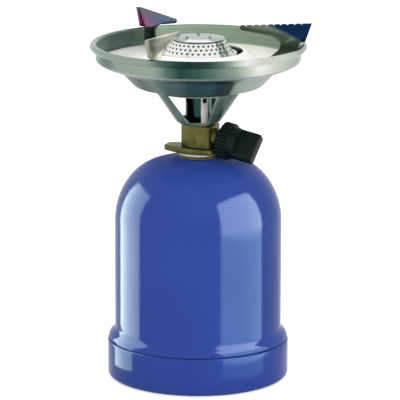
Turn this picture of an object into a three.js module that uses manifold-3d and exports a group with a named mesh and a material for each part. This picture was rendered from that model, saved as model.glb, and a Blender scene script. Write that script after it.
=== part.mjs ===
// Portable gas stove with a pierced cartridge under a steel bell, in millimetres, +Z up.
// The origin is the centre of the ring that the stove stands on.
import * as THREE from 'three';
import { mergeVertices } from 'three/addons/utils/BufferGeometryUtils.js';
import Module from 'manifold-3d';

const wasm = await Module();
wasm.setup();

// Fits that every piece shares
const SEAT_GAP = 0.3;
const CUT_OVERRUN = 1.2;
const RING_FACETS = 36;
const SMALL_FACETS = 20;
const TINY_FACETS = 10;
const HEX_SIDES = 6;
const CURVE_STEPS = 4;
const BEND_STEPS = 3;
const MERGE_DISTANCE = 1e-4;
const CORNER_SHARE = 0.48;

// Base cup, a pressed dish standing upside down
const BASE_STEP = 0.7;
const BASE_HEIGHT = 22.4;
const BASE_WALL = 0.9;
const BASE_FOOT_RADIUS = 2.8;
const BASE_FOOT_WIDTH = 3;
const BASE_EDGE_RADIUS = 1;
const BASE_DISH_RADIUS = 38;
const BASE_DISH_DEPTH = 3;
const BASE_DISH_SLOPE = 2.5;
const BASE_VENT_RADIUS = 12;

// Collar on the base, which locks the bell with three L-shaped slots
const COLLAR_WALL = 1;
const COLLAR_HEIGHT = 17;
const COLLAR_CLEARANCE = 0.6;
const LUG_COUNT = 3;
const LUG_WIDTH = 6;
const LUG_HEIGHT = 2.4;
const LUG_LEVEL = 11.5;
const LUG_REACH = 1.5;
const LUG_CLEARANCE = 0.7;
const UNLOCK_ANGLE = THREE.MathUtils.degToRad(25);

// Gas cartridge
const CARTRIDGE_RADIUS = 45;
const CARTRIDGE_HEIGHT = 89.3;
const CARTRIDGE_WALL = 0.5;
const CARTRIDGE_SHOULDER_WIDTH = 12;
const CARTRIDGE_SHOULDER_HEIGHT = 8;
const CARTRIDGE_CONE_HEIGHT = 6;
const CARTRIDGE_SEAT_RADIUS = 8;
const CARTRIDGE_RIM_WIDTH = 3;
const CARTRIDGE_HOLLOW = 4;
const PIERCED_RADIUS = 1.7;

// Bell
const CARTRIDGE_CLEARANCE = 1.4;
const BELL_HEADROOM = 18.4;
const BELL_WALL = 0.8;
const FLARE_REACH = 3.6;
const FLARE_HEIGHT = 7.4;
const FLARE_EDGE = 1.2;
const SHOULDER_HEIGHT = 36;
const SHOULDER_STEPS = 7;
const CROWN_RISE = 1.4;
const CROWN_RADIUS = 13.2;
const CROWN_SLOPE_WIDTH = 5.6;

// Threaded bushing in the crown of the bell, its nut and the washer above it
const BUSHING_BORE = 7.5;
const BUSHING_WALL = 2.7;
const BUSHING_LENGTH = 12;
const BUSHING_FLANGE_RADIUS = 12.1;
const BUSHING_FLANGE_THICKNESS = 1.5;
const NUT_WIDTH = 3.6;
const NUT_THICKNESS = 3;
const WASHER_RADIUS = 11.6;
const WASHER_THICKNESS = 0.9;

// Threaded stem, piercing needle and cartridge seal under the valve
const STEM_BORE = 1.6;
const SEAL_RADIUS = 6.2;
const SEAL_THICKNESS = 2.2;
const NEEDLE_RADIUS = 1.3;
const NEEDLE_BORE = 0.5;
const NEEDLE_REACH = 4;
const NEEDLE_LENGTH = 18;
const NEEDLE_BEVEL = 2.4;

// Hand flange, a stamped plate that screws the valve down
const HAND_FLANGE_THICKNESS = 3.1;
const HAND_FLANGE_TAIL = 20.5;
const HAND_FLANGE_NOSE = 12.5;
const HAND_FLANGE_HALF_WIDTH = 9.6;
const HAND_FLANGE_CORNER = 3;
const HAND_FLANGE_BEVEL = 0.8;

// Valve body
const VALVE_HEIGHT = 12.9;
const VALVE_TAIL = 9.5;
const VALVE_TAIL_HALF_WIDTH = 4;
const VALVE_CORNER = 2;
const VALVE_NOSE = 10.5;
const VALVE_HALF_WIDTH = 8;
const VALVE_BEVEL = 1;
const VALVE_CORNER_RADIUS = 2.6;
const VALVE_DUCT = 1.5;
const BOSS_RADIUS = 5.5;
const BOSS_END = 13;
const BOSS_POCKET_RADIUS = 4.3;
const BOSS_POCKET_DEPTH = 2.4;

// Spindle line, which leaves the valve to the front right and slopes down
const SPINDLE_LEVEL = 7.9;
const SPINDLE_YAW = THREE.MathUtils.degToRad(-24);
const SPINDLE_TILT = THREE.MathUtils.degToRad(11);
const SPINDLE_RADIUS = 2.5;
const SPINDLE_START = 4;
const SPINDLE_TIP_LENGTH = 3;
const SPINDLE_TIP_RADIUS = 0.7;
const SEAL_RING_WALL = 1.2;
const SEAL_RING_WIDTH = 1.7;
const GLAND_RADIUS = 5.4;
const GLAND_LENGTH = 4;

// Control knob
const KNOB_START = 15.2;
const KNOB_FLUTE_COUNT = 24;
const KNOB_RADIUS = 10.9;
const KNOB_FLUTE_DEPTH = 0.7;
const KNOB_RIM_LENGTH = 7;
const KNOB_COLLAR_RADIUS = 9.9;
const KNOB_COLLAR_LENGTH = 4;
const KNOB_GRIP_LENGTH = 11.5;
const KNOB_GRIP_HALF_SPAN = 8.8;
const KNOB_GRIP_HALF_WIDTH = 3.9;
const KNOB_GRIP_CORNER = 2.4;
const KNOB_RECESS_RADIUS = 6.4;
const KNOB_RECESS_DEPTH = 3;
const KNOB_BORE_DEPTH = 12;
const KNOB_ROLL = THREE.MathUtils.degToRad(-35);

// Burner bracket, a cone of sheet steel with three windows between its arms
const BRACKET_WALL = 0.9;
const BRACKET_HOLE = 4.6;
const BRACKET_PLATE_RADIUS = 10.4;
const BRACKET_WAIST_RADIUS = 12.7;
const BRACKET_WAIST_RISE = 1.8;
const BRACKET_TOP_RADIUS = 23.8;
const BRACKET_HEIGHT = 19;
const BRACKET_FLANGE_WIDTH = 5.6;
const BRACKET_FLANGE_DROP = 0.8;
const BRACKET_WINDOW_MARGIN = 2;
const BRACKET_ARM_COUNT = 3;
const BRACKET_ARM_HALF_WIDTH = 8.8;
const BRACKET_ARM_SPREAD = THREE.MathUtils.degToRad(21);
const BRACKET_FIRST_ARM = THREE.MathUtils.degToRad(-38);

// Gas jet, mixing tube and burner cup
const JET_RADIUS = 3.2;
const JET_HEIGHT = 7;
const JET_BORE = 0.6;
const TUBE_RADIUS = 7.5;
const TUBE_WALL = 0.8;
const TUBE_LENGTH = 30;
const AIR_HOLE_RADIUS = 1.65;
const AIR_HOLE_COUNT = 4;
const AIR_HOLE_LEVEL = 13.4;
const AIR_HOLE_AZIMUTH = THREE.MathUtils.degToRad(-58.5);
const CUP_WALL = 0.7;
const CUP_NECK_LENGTH = 7;
const CUP_NECK_OVERLAP = 9;
const CUP_CONE_HEIGHT = 11.8;
const CUP_RADIUS = 22.3;
const CUP_RIM_WIDTH = 1.6;

// Bowl with its rolled lip
const BOWL_WALL = 0.7;
const BOWL_FLOOR_RADIUS = 25.2;
const BOWL_FLOOR_CORNER = 1.2;
const BOWL_CONE_HEIGHT = 13.2;
const BOWL_SHELF_WIDTH = 10.5;
const BOWL_SHELF_HEIGHT = 3.6;
const BOWL_SHELF_INSET = 2.3;
const BOWL_RADIUS = 59.6;
const BOWL_WALL_RISE = 1.8;
const BOWL_DEPTH = 26.4;
const LIP_RADIUS = 2;
const LIP_STEPS = 6;
const LIP_SWEEP = THREE.MathUtils.degToRad(250);

// Drip tray with its raised collar round the burner
const TRAY_WALL = 0.7;
const TRAY_CLEARANCE = 0.6;
const TRAY_FOOT_RADIUS = 34;
const TRAY_COLLAR_RADIUS = 27.2;
const TRAY_COLLAR_RISE = 5.2;
const TRAY_HOLE_RADIUS = 26;
const TRAY_CROWN = 0.6;

// Burner drum with three rows of flame ports, and its cap
const DRUM_WALL = 0.6;
const DRUM_FLANGE_WIDTH = 1.6;
const DRUM_RADIUS = 20.8;
const DRUM_TOP_RADIUS = 15.8;
const DRUM_HEIGHT = 8.3;
const DRUM_SHELF_WIDTH = 3.4;
const PORT_COUNT = 36;
const PORT_ROWS = 3;
const PORT_RADIUS = 0.62;
const PORT_FIRST_LEVEL = 2.6;
const PORT_PITCH = 2.1;
const CAP_WALL = 0.5;
const CAP_RADIUS = 15.3;
const CAP_FLAT_RADIUS = 10;
const CAP_RISE = 0.6;
const CAP_RIVET_COUNT = 3;
const CAP_RIVET_CIRCLE = 7.6;
const CAP_RIVET_RADIUS = 1;
const CAP_RIVET_HEAD = 0.5;

// Pot support blades, welded to the tray by hand and so not quite evenly
const BLADE_AZIMUTHS = [-2, 123, 243];
const BLADE_THICKNESS = 1.2;
const BLADE_RISE = 20.6;
const BLADE_TOP_SLOPE = 1.3;
const BLADE_REST_WIDTH = 5.2;
const BLADE_SPAN = 34;
const BLADE_OVERHANG = 7.5;
const BLADE_LIP_STEP = 3.6;
const BLADE_FOOT_INSET = 6.6;
const BLADE_HEEL_WIDTH = 11.3;
const BLADE_HEEL_RISE = 5.2;
const BLADE_KNEE_WIDTH = 10.4;
const BLADE_KNEE_RISE = 9;
const BLADE_NECK_WIDTH = 15.1;
const BLADE_NECK_RISE = 13;
const BLADE_TIP_DEPTH = 2.6;
const BLADE_TIP_CORNER = 1;
const BLADE_WALL_CLEARANCE = 0.9;
const BLADE_LIP_CLEARANCE = 0.5;
const BLADE_FLANGE_WIDTH = 1.1;
const NOTCH_PITCH = 4;
const NOTCH_WIDTH = 1.3;
const NOTCH_DEPTH = 0.8;
const NOTCH_MARGIN = 2.6;

// Rivets that hold the bowl to the bracket
const RIVET_RADIUS = 1.1;
const RIVET_HEAD_RADIUS = 1.9;
const RIVET_HEAD_HEIGHT = 0.9;
const RIVET_HOLE_GAP = 0.35;

// Heights that follow from the stack of pieces
const floorTop = BASE_HEIGHT;
const flareBottom = floorTop + SEAT_GAP;
const collarBottom = floorTop + SEAT_GAP;
const lugLevel = collarBottom + LUG_LEVEL;
const cartridgeBottom = floorTop + SEAT_GAP;
const cartridgeTop = cartridgeBottom + CARTRIDGE_HEIGHT;
const crownTop = cartridgeTop + BELL_HEADROOM;
const bushingShoulder = crownTop + SEAT_GAP;
const bushingTop = bushingShoulder + BUSHING_FLANGE_THICKNESS;
const washerBottom = bushingTop + SEAT_GAP;
const handFlangeBottom = washerBottom + WASHER_THICKNESS + SEAT_GAP;
const valveBottom = handFlangeBottom + HAND_FLANGE_THICKNESS + SEAT_GAP;
const valveTop = valveBottom + VALVE_HEIGHT;
const spindleLevel = valveBottom + SPINDLE_LEVEL;
const bracketBottom = valveTop + SEAT_GAP;
const bracketTop = bracketBottom + BRACKET_HEIGHT;
const tubeBottom = bracketBottom + BRACKET_WALL + SEAT_GAP;
const tubeTop = tubeBottom + TUBE_LENGTH;
const bowlBottom = bracketTop + SEAT_GAP;
const bowlShelf = bowlBottom + BOWL_CONE_HEIGHT + BOWL_SHELF_HEIGHT;
const lipMiddle = bowlBottom + BOWL_DEPTH;
const trayBottom = bowlShelf + BOWL_WALL + SEAT_GAP;
const trayTop = trayBottom + TRAY_WALL;
const cupBottom = tubeTop - CUP_NECK_OVERLAP;
const cupTop = cupBottom + CUP_NECK_LENGTH + CUP_CONE_HEIGHT;
const drumBottom = cupTop + SEAT_GAP;
const drumTop = drumBottom + DRUM_HEIGHT;
const capBottom = drumTop + SEAT_GAP;
const bladeBottom = trayTop + TRAY_CROWN + SEAT_GAP;
const bladeTop = bladeBottom + BLADE_RISE;

// Radii that follow from the pieces that carry them
const bushingRadius = BUSHING_BORE + BUSHING_WALL;
const neckHoleRadius = bushingRadius + SEAT_GAP;
const stemRadius = BUSHING_BORE - SEAT_GAP;
const spindleBore = SPINDLE_RADIUS + SEAT_GAP;
const collarRadius = CARTRIDGE_RADIUS + CARTRIDGE_CLEARANCE + COLLAR_WALL;
const bellInnerRadius = collarRadius + COLLAR_CLEARANCE;
const bellRadius = bellInnerRadius + BELL_WALL;
const flareRadius = bellRadius + FLARE_REACH;
const baseRadius = flareRadius + BASE_STEP;
const shoulderWidth = bellRadius - CROWN_RADIUS - CROWN_SLOPE_WIDTH;
const lugRadius = bellInnerRadius - SEAT_GAP;
const tubeHole = TUBE_RADIUS + SEAT_GAP;
const bowlShelfRadius = BOWL_RADIUS - BOWL_SHELF_INSET;
const bowlConeRadius = bowlShelfRadius - BOWL_SHELF_WIDTH;
const bladeOuterFoot = BOWL_RADIUS - BOWL_WALL - BLADE_WALL_CLEARANCE;
const bladeInnerRadius = bladeOuterFoot - BLADE_SPAN;
const bladeOuterRadius = bladeOuterFoot + BLADE_OVERHANG;
const bladeLipRadius = bladeOuterFoot + BLADE_LIP_STEP;
const bladeOverLip = lipMiddle + LIP_RADIUS + BLADE_LIP_CLEARANCE;
const rivetCircle = BRACKET_TOP_RADIUS - BRACKET_FLANGE_WIDTH + RIVET_HEAD_RADIUS;
const rivetHole = RIVET_RADIUS + RIVET_HOLE_GAP;

// Turns a three.js geometry into a manifold solid with its faces pointing out
function solidOf(geometry) {
  geometry.deleteAttribute('normal');
  geometry.deleteAttribute('uv');
  const merged = mergeVertices(geometry, MERGE_DISTANCE);
  const spots = merged.getAttribute('position').array;
  const corners = [];
  let volume = 0;
  const index = merged.getIndex().array;
  for (let i = 0; i < index.length; i += 3) {
    const [a, b, c] = [index[i], index[i + 1], index[i + 2]];
    if (a === b || b === c || c === a) {
      continue;
    }
    corners.push(a, b, c);
    const [p, q, r] = [a, b, c].map((n) => new THREE.Vector3().fromArray(spots, n * 3));
    volume += p.dot(q.cross(r));
  }
  if (volume < 0) {
    for (let i = 0; i < corners.length; i += 3) {
      [corners[i], corners[i + 1]] = [corners[i + 1], corners[i]];
    }
  }
  return new wasm.Manifold(new wasm.Mesh({
    numProp: 3,
    vertProperties: new Float32Array(spots),
    triVerts: new Uint32Array(corners),
  }));
}

// Gives a manifold solid back as a three.js geometry
function geometryOf(solid) {
  const mesh = solid.getMesh();
  const geometry = new THREE.BufferGeometry();
  geometry.setAttribute('position', new THREE.BufferAttribute(mesh.vertProperties, mesh.numProp));
  geometry.setIndex(new THREE.BufferAttribute(mesh.triVerts, 1));
  geometry.computeVertexNormals();
  return geometry;
}

// Solid of revolution about +Z from [radius, height] points, closed unless both ends are on the axis
function turned(points, facets = RING_FACETS) {
  const first = points[0];
  const last = points[points.length - 1];
  const loop = first[0] === 0 && last[0] === 0 ? points : [...points, first];
  const outline = loop.map(([radius, height]) => new THREE.Vector2(radius, height));
  return solidOf(new THREE.LatheGeometry(outline, facets).rotateX(Math.PI / 2));
}

// Outline of bent sheet: the given path and its copy one wall to the left of it
function sheet(path, wall) {
  const direction = (a, b) => new THREE.Vector2(b[0] - a[0], b[1] - a[1]).normalize();
  const offset = path.map((point, i) => {
    const before = direction(path[Math.max(i - 1, 0)], path[Math.max(i, 1)]);
    const after = direction(path[Math.min(i, path.length - 2)], path[Math.min(i + 1, path.length - 1)]);
    const along = before.clone().add(after).normalize();
    const reach = wall / along.dot(after);
    return [Math.max(point[0] - along.y * reach, 0), point[1] + along.x * reach];
  });
  return [...path, ...offset.reverse()];
}

// Points of an elliptical arc about a centre, from one angle to another
function arc(middle, radii, from, to, steps) {
  const points = [];
  for (let i = 0; i <= steps; i += 1) {
    const angle = from + ((to - from) * i) / steps;
    points.push([middle[0] + radii[0] * Math.cos(angle), middle[1] + radii[1] * Math.sin(angle)]);
  }
  return points;
}

// Flat ring of rectangular section
function ring(inner, outer, bottom, top, facets = RING_FACETS) {
  return turned([[inner, bottom], [outer, bottom], [outer, top], [inner, top]], facets);
}

// Plain rod along +Z
function rod(radius, bottom, top, facets = SMALL_FACETS) {
  return turned([[0, bottom], [radius, bottom], [radius, top], [0, top]], facets);
}

// Plate with a given outline, from one height to another, with an optional bevel inside those heights
function plate(shape, bottom, top, bevel = 0) {
  const geometry = new THREE.ExtrudeGeometry(shape, {
    depth: top - bottom - bevel * 2,
    bevelEnabled: bevel > 0,
    bevelThickness: bevel,
    bevelSize: bevel,
    bevelOffset: -bevel,
    bevelSegments: 1,
    curveSegments: CURVE_STEPS,
  });
  return solidOf(geometry.translate(0, 0, bottom + bevel));
}

// Piece of a ring between two angles
function sector(inner, outer, from, to, bottom, top) {
  const shape = new THREE.Shape();
  shape.absarc(0, 0, outer, from, to, false);
  shape.absarc(0, 0, inner, to, from, true);
  return plate(shape, bottom, top);
}

// Closed outline through points whose corners are rounded by the given radius
function roundedOutline(points, corner) {
  const shape = new THREE.Shape();
  points.forEach((point, i) => {
    const here = new THREE.Vector2(...point);
    const before = new THREE.Vector2(...points[(i + points.length - 1) % points.length]);
    const after = new THREE.Vector2(...points[(i + 1) % points.length]);
    const shortest = Math.min(here.distanceTo(before), here.distanceTo(after));
    const room = Math.min(corner, shortest * CORNER_SHARE);
    const start = here.clone().add(before.sub(here).setLength(room));
    const end = here.clone().add(after.sub(here).setLength(room));
    if (i === 0) {
      shape.moveTo(start.x, start.y);
    } else {
      shape.lineTo(start.x, start.y);
    }
    shape.quadraticCurveTo(here.x, here.y, end.x, end.y);
  });
  return shape;
}

// Copies of a geometry-making function's solid, turned evenly about +Z and joined
function around(count, first, make) {
  let joined = null;
  for (let i = 0; i < count; i += 1) {
    const degrees = THREE.MathUtils.radToDeg(first) + (360 * i) / count;
    const copy = make(i).rotate([0, 0, degrees]);
    joined = joined ? joined.add(copy) : copy;
  }
  return joined;
}

// Base cup: rolled foot, upright wall, flat top with a shallow dish and a vent
function baseCup() {
  const footCentre = [baseRadius - BASE_FOOT_RADIUS, BASE_FOOT_RADIUS];
  const footRadii = [BASE_FOOT_RADIUS, BASE_FOOT_RADIUS];
  const edgeCentre = [baseRadius - BASE_EDGE_RADIUS, floorTop - BASE_EDGE_RADIUS];
  const edgeRadii = [BASE_EDGE_RADIUS, BASE_EDGE_RADIUS];
  const path = [
    [footCentre[0] - BASE_FOOT_WIDTH, 0],
    ...arc(footCentre, footRadii, -Math.PI / 2, 0, BEND_STEPS),
    ...arc(edgeCentre, edgeRadii, 0, Math.PI / 2, BEND_STEPS),
    [BASE_DISH_RADIUS, floorTop],
    [BASE_DISH_RADIUS - BASE_DISH_SLOPE, floorTop - BASE_DISH_DEPTH],
    [BASE_VENT_RADIUS, floorTop - BASE_DISH_DEPTH],
  ];
  return turned(sheet(path, BASE_WALL));
}

// Collar with an L-shaped slot for each lug of the bell
function cartridgeCollar() {
  const inner = collarRadius - COLLAR_WALL;
  const band = ring(inner, collarRadius, collarBottom, collarBottom + COLLAR_HEIGHT);
  const halfSlot = (LUG_WIDTH / 2 + LUG_CLEARANCE) / collarRadius;
  const cutInner = inner - CUT_OVERRUN;
  const cutOuter = collarRadius + CUT_OVERRUN;
  const legBottom = lugLevel - LUG_CLEARANCE;
  const legTop = lugLevel + LUG_HEIGHT + LUG_CLEARANCE;
  const mouth = collarBottom + COLLAR_HEIGHT + CUT_OVERRUN;
  const slots = around(LUG_COUNT, 0, () => {
    const leg = sector(cutInner, cutOuter, -halfSlot, UNLOCK_ANGLE + halfSlot, legBottom, legTop);
    const entryStart = UNLOCK_ANGLE - halfSlot;
    const entry = sector(cutInner, cutOuter, entryStart, UNLOCK_ANGLE + halfSlot, legBottom, mouth);
    return leg.add(entry);
  });
  return band.subtract(slots);
}

// Thin steel can with a hollow bottom and a pierced, coned top
function cartridge() {
  const shoulderBase = cartridgeTop - CARTRIDGE_CONE_HEIGHT - CARTRIDGE_SHOULDER_HEIGHT;
  const path = [
    [0, cartridgeBottom + CARTRIDGE_HOLLOW],
    [CARTRIDGE_RADIUS - CARTRIDGE_RIM_WIDTH * 2, cartridgeBottom + CARTRIDGE_HOLLOW],
    [CARTRIDGE_RADIUS - CARTRIDGE_RIM_WIDTH, cartridgeBottom],
    [CARTRIDGE_RADIUS, cartridgeBottom],
    ...arc(
      [CARTRIDGE_RADIUS - CARTRIDGE_SHOULDER_WIDTH, shoulderBase],
      [CARTRIDGE_SHOULDER_WIDTH, CARTRIDGE_SHOULDER_HEIGHT], 0, Math.PI / 2, BEND_STEPS,
    ),
    [CARTRIDGE_SEAT_RADIUS, cartridgeTop],
    [PIERCED_RADIUS, cartridgeTop],
  ];
  return turned(sheet(path, CARTRIDGE_WALL));
}

// Bell: flared rim, straight wall, rounded shoulder and flat crown with a hole
function bell() {
  const shoulderTop = crownTop - CROWN_RISE;
  const flareTop = flareBottom + FLARE_HEIGHT;
  const flareStart = flareBottom + FLARE_EDGE;
  const bendShares = [0, 0.3, 0.75, 1];
  const riseShares = [0, 0.4, 0.7, 1];
  const flare = bendShares.map((share, i) => [
    flareRadius + (bellRadius - flareRadius) * share,
    flareStart + (flareTop - flareStart) * riseShares[i],
  ]);
  const shoulder = arc(
    [bellRadius - shoulderWidth, shoulderTop - SHOULDER_HEIGHT],
    [shoulderWidth, SHOULDER_HEIGHT], 0, Math.PI / 2, SHOULDER_STEPS,
  );
  const path = [
    [flareRadius, flareBottom],
    ...flare,
    ...shoulder,
    [CROWN_RADIUS, crownTop],
    [neckHoleRadius, crownTop],
  ];
  return turned(sheet(path, BELL_WALL));
}

// Lug welded inside the bell, which rides in a slot of the collar
function bellLug() {
  const half = LUG_WIDTH / 2 / lugRadius;
  return sector(lugRadius - LUG_REACH, lugRadius, -half, half, lugLevel, lugLevel + LUG_HEIGHT);
}

// Bushing: flange on the crown and threaded sleeve through it
function neckBushing() {
  return turned([
    [BUSHING_BORE, bushingTop - BUSHING_FLANGE_THICKNESS - BUSHING_LENGTH],
    [bushingRadius, bushingTop - BUSHING_FLANGE_THICKNESS - BUSHING_LENGTH],
    [bushingRadius, bushingShoulder],
    [BUSHING_FLANGE_RADIUS, bushingShoulder],
    [BUSHING_FLANGE_RADIUS, bushingTop],
    [BUSHING_BORE, bushingTop],
  ], SMALL_FACETS);
}

// Nut that clamps the bushing from inside the bell
function bushingNut() {
  const top = crownTop - BELL_WALL - SEAT_GAP;
  const bottom = top - NUT_THICKNESS;
  const inner = bushingRadius + SEAT_GAP;
  const blank = rod(inner + NUT_WIDTH, bottom, top, HEX_SIDES);
  return blank.subtract(rod(inner, bottom - CUT_OVERRUN, top + CUT_OVERRUN));
}

function sealingWasher() {
  return ring(BUSHING_BORE, WASHER_RADIUS, washerBottom, washerBottom + WASHER_THICKNESS, SMALL_FACETS);
}

// Threaded stem from the cartridge seal up to the valve body
function threadedStem() {
  const bottom = cartridgeTop + SEAL_THICKNESS + SEAT_GAP * 2;
  return ring(STEM_BORE, stemRadius, bottom, valveBottom - SEAT_GAP, SMALL_FACETS);
}

function cartridgeSeal() {
  const bottom = cartridgeTop + SEAT_GAP;
  return ring(STEM_BORE, SEAL_RADIUS, bottom, bottom + SEAL_THICKNESS, SMALL_FACETS);
}

// Hollow needle with a pointed lower end
function piercingNeedle() {
  const bottom = cartridgeTop - NEEDLE_REACH;
  const top = bottom + NEEDLE_LENGTH;
  return turned([
    [NEEDLE_BORE, bottom],
    [NEEDLE_RADIUS, bottom + NEEDLE_BEVEL],
    [NEEDLE_RADIUS, top],
    [NEEDLE_BORE, top],
  ], TINY_FACETS);
}

// Stamped flange with a long tail, drawn in the direction of the spindle
function handFlange() {
  const outline = roundedOutline([
    [-HAND_FLANGE_TAIL, -HAND_FLANGE_HALF_WIDTH / 2],
    [-HAND_FLANGE_TAIL / 2, -HAND_FLANGE_HALF_WIDTH],
    [HAND_FLANGE_NOSE, -HAND_FLANGE_HALF_WIDTH],
    [HAND_FLANGE_NOSE, HAND_FLANGE_HALF_WIDTH],
    [-HAND_FLANGE_TAIL / 2, HAND_FLANGE_HALF_WIDTH],
    [-HAND_FLANGE_TAIL, HAND_FLANGE_HALF_WIDTH / 2],
  ], HAND_FLANGE_CORNER);
  const top = handFlangeBottom + HAND_FLANGE_THICKNESS;
  const blank = plate(outline, handFlangeBottom, top, HAND_FLANGE_BEVEL);
  const hole = rod(stemRadius + SEAT_GAP, handFlangeBottom - CUT_OVERRUN, top + CUT_OVERRUN);
  return blank.subtract(hole);
}

// Moves a solid made along +Z onto the sloping spindle line
function ontoSpindleLine(solid) {
  const yaw = THREE.MathUtils.radToDeg(SPINDLE_YAW);
  const tilt = THREE.MathUtils.radToDeg(SPINDLE_TILT);
  return solid.rotate([0, 90 + tilt, 0]).rotate([0, 0, yaw]).translate([0, 0, spindleLevel]);
}

// Valve body: faceted block with a round boss on the spindle line and gas ducts
function valveBody() {
  const outline = roundedOutline([
    [-VALVE_TAIL, -VALVE_TAIL_HALF_WIDTH],
    [-VALVE_CORNER, -VALVE_HALF_WIDTH],
    [VALVE_NOSE, -VALVE_HALF_WIDTH],
    [VALVE_NOSE, VALVE_HALF_WIDTH],
    [-VALVE_CORNER, VALVE_HALF_WIDTH],
    [-VALVE_TAIL, VALVE_TAIL_HALF_WIDTH],
  ], VALVE_CORNER_RADIUS);
  const yaw = THREE.MathUtils.radToDeg(SPINDLE_YAW);
  const block = plate(outline, valveBottom, valveTop, VALVE_BEVEL).rotate([0, 0, yaw]);
  const boss = ontoSpindleLine(rod(BOSS_RADIUS, SPINDLE_START, BOSS_END));
  const bore = ontoSpindleLine(rod(spindleBore, SPINDLE_START - SEAT_GAP, BOSS_END + CUT_OVERRUN));
  const pocketStart = BOSS_END - BOSS_POCKET_DEPTH;
  const pocket = ontoSpindleLine(rod(BOSS_POCKET_RADIUS, pocketStart, BOSS_END + CUT_OVERRUN));
  const seat = ontoSpindleLine(rod(VALVE_DUCT, 0, SPINDLE_START, TINY_FACETS));
  const duct = rod(VALVE_DUCT, valveBottom - CUT_OVERRUN, valveTop + CUT_OVERRUN, TINY_FACETS);
  return block.add(boss).subtract(bore).subtract(pocket).subtract(seat).subtract(duct);
}

// Spindle with a conical needle tip, along the line's own +Z
function valveSpindle() {
  const end = KNOB_START + KNOB_BORE_DEPTH - SEAT_GAP;
  return turned([
    [0, SPINDLE_START],
    [SPINDLE_TIP_RADIUS, SPINDLE_START],
    [SPINDLE_RADIUS, SPINDLE_START + SPINDLE_TIP_LENGTH],
    [SPINDLE_RADIUS, end],
    [0, end],
  ], TINY_FACETS);
}

function spindleSeal() {
  const inner = spindleBore;
  const start = BOSS_END - BOSS_POCKET_DEPTH + SEAT_GAP;
  return ring(inner, inner + SEAL_RING_WALL, start, start + SEAL_RING_WIDTH, TINY_FACETS);
}

// Six-sided gland nut on the end of the boss
function glandNut() {
  const start = BOSS_END + SEAT_GAP;
  const end = start + GLAND_LENGTH;
  const blank = rod(GLAND_RADIUS, start, end, HEX_SIDES);
  return blank.subtract(rod(spindleBore, start - CUT_OVERRUN, end + CUT_OVERRUN, TINY_FACETS));
}

// Knob: fluted rim, smooth collar and a bar grip across its face
function controlKnob() {
  const rimEnd = KNOB_START + KNOB_RIM_LENGTH;
  const collarEnd = rimEnd + KNOB_COLLAR_LENGTH;
  const gripEnd = collarEnd + KNOB_GRIP_LENGTH;
  const flutes = new THREE.Shape();
  const steps = KNOB_FLUTE_COUNT * 4;
  const depthShares = [1, 1, 0, 0];
  for (let i = 0; i < steps; i += 1) {
    const radius = KNOB_RADIUS - KNOB_FLUTE_DEPTH * depthShares[i % 4];
    const angle = (i * Math.PI * 2) / steps;
    const method = i === 0 ? 'moveTo' : 'lineTo';
    flutes[method](radius * Math.cos(angle), radius * Math.sin(angle));
  }
  const rim = plate(flutes, KNOB_START, rimEnd);
  const grip = plate(roundedOutline([
    [-KNOB_GRIP_HALF_SPAN, -KNOB_GRIP_HALF_WIDTH],
    [KNOB_GRIP_HALF_SPAN, -KNOB_GRIP_HALF_WIDTH],
    [KNOB_GRIP_HALF_SPAN, KNOB_GRIP_HALF_WIDTH],
    [-KNOB_GRIP_HALF_SPAN, KNOB_GRIP_HALF_WIDTH],
  ], KNOB_GRIP_CORNER), rimEnd, gripEnd);
  const collar = turned([
    [0, rimEnd - SEAT_GAP],
    [KNOB_COLLAR_RADIUS, rimEnd - SEAT_GAP],
    [KNOB_COLLAR_RADIUS - KNOB_FLUTE_DEPTH, collarEnd],
    [0, collarEnd],
  ], SMALL_FACETS);
  const recess = rod(KNOB_RECESS_RADIUS, KNOB_START - CUT_OVERRUN, KNOB_START + KNOB_RECESS_DEPTH);
  const bore = rod(spindleBore, KNOB_START, KNOB_START + KNOB_BORE_DEPTH, TINY_FACETS);
  return rim.add(collar).add(grip).subtract(recess).subtract(bore);
}

// Sheet cone between valve and bowl: plate, three arms and a riveted top flange
function burnerBracket() {
  const flangeInner = BRACKET_TOP_RADIUS - BRACKET_FLANGE_WIDTH;
  const path = [
    [BRACKET_HOLE, bracketBottom],
    [BRACKET_PLATE_RADIUS, bracketBottom],
    [BRACKET_WAIST_RADIUS, bracketBottom + BRACKET_WAIST_RISE],
    [BRACKET_TOP_RADIUS, bracketTop - BRACKET_FLANGE_DROP],
    [BRACKET_TOP_RADIUS - BRACKET_FLANGE_DROP, bracketTop],
    [flangeInner, bracketTop],
  ];
  const cone = turned(sheet(path, BRACKET_WALL));
  const bottom = bracketBottom + BRACKET_WAIST_RISE + BRACKET_WALL;
  const top = bracketTop - BRACKET_FLANGE_DROP - BRACKET_WINDOW_MARGIN;
  const windows = around(BRACKET_ARM_COUNT, BRACKET_FIRST_ARM, () => (
    plate(bracketWindowOutline(), bottom, top)
  ));
  return cone.subtract(windows).subtract(rivetHoles(bracketTop - BRACKET_WALL, bracketTop));
}

// Outline of the window that follows the arm on +X: even with that arm's side, radial at the next arm
function bracketWindowOutline() {
  const armStep = (Math.PI * 2) / BRACKET_ARM_COUNT;
  const reach = BRACKET_TOP_RADIUS * 2;
  const spot = (radius, angle) => new THREE.Vector2(radius * Math.cos(angle), radius * Math.sin(angle));
  const radialEdge = armStep - BRACKET_ARM_SPREAD;
  return new THREE.Shape([
    new THREE.Vector2(0, BRACKET_ARM_HALF_WIDTH),
    new THREE.Vector2(BRACKET_TOP_RADIUS, BRACKET_ARM_HALF_WIDTH),
    spot(reach, armStep / 2),
    spot(reach, radialEdge),
    spot(BRACKET_ARM_HALF_WIDTH, radialEdge),
  ]);
}

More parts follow.
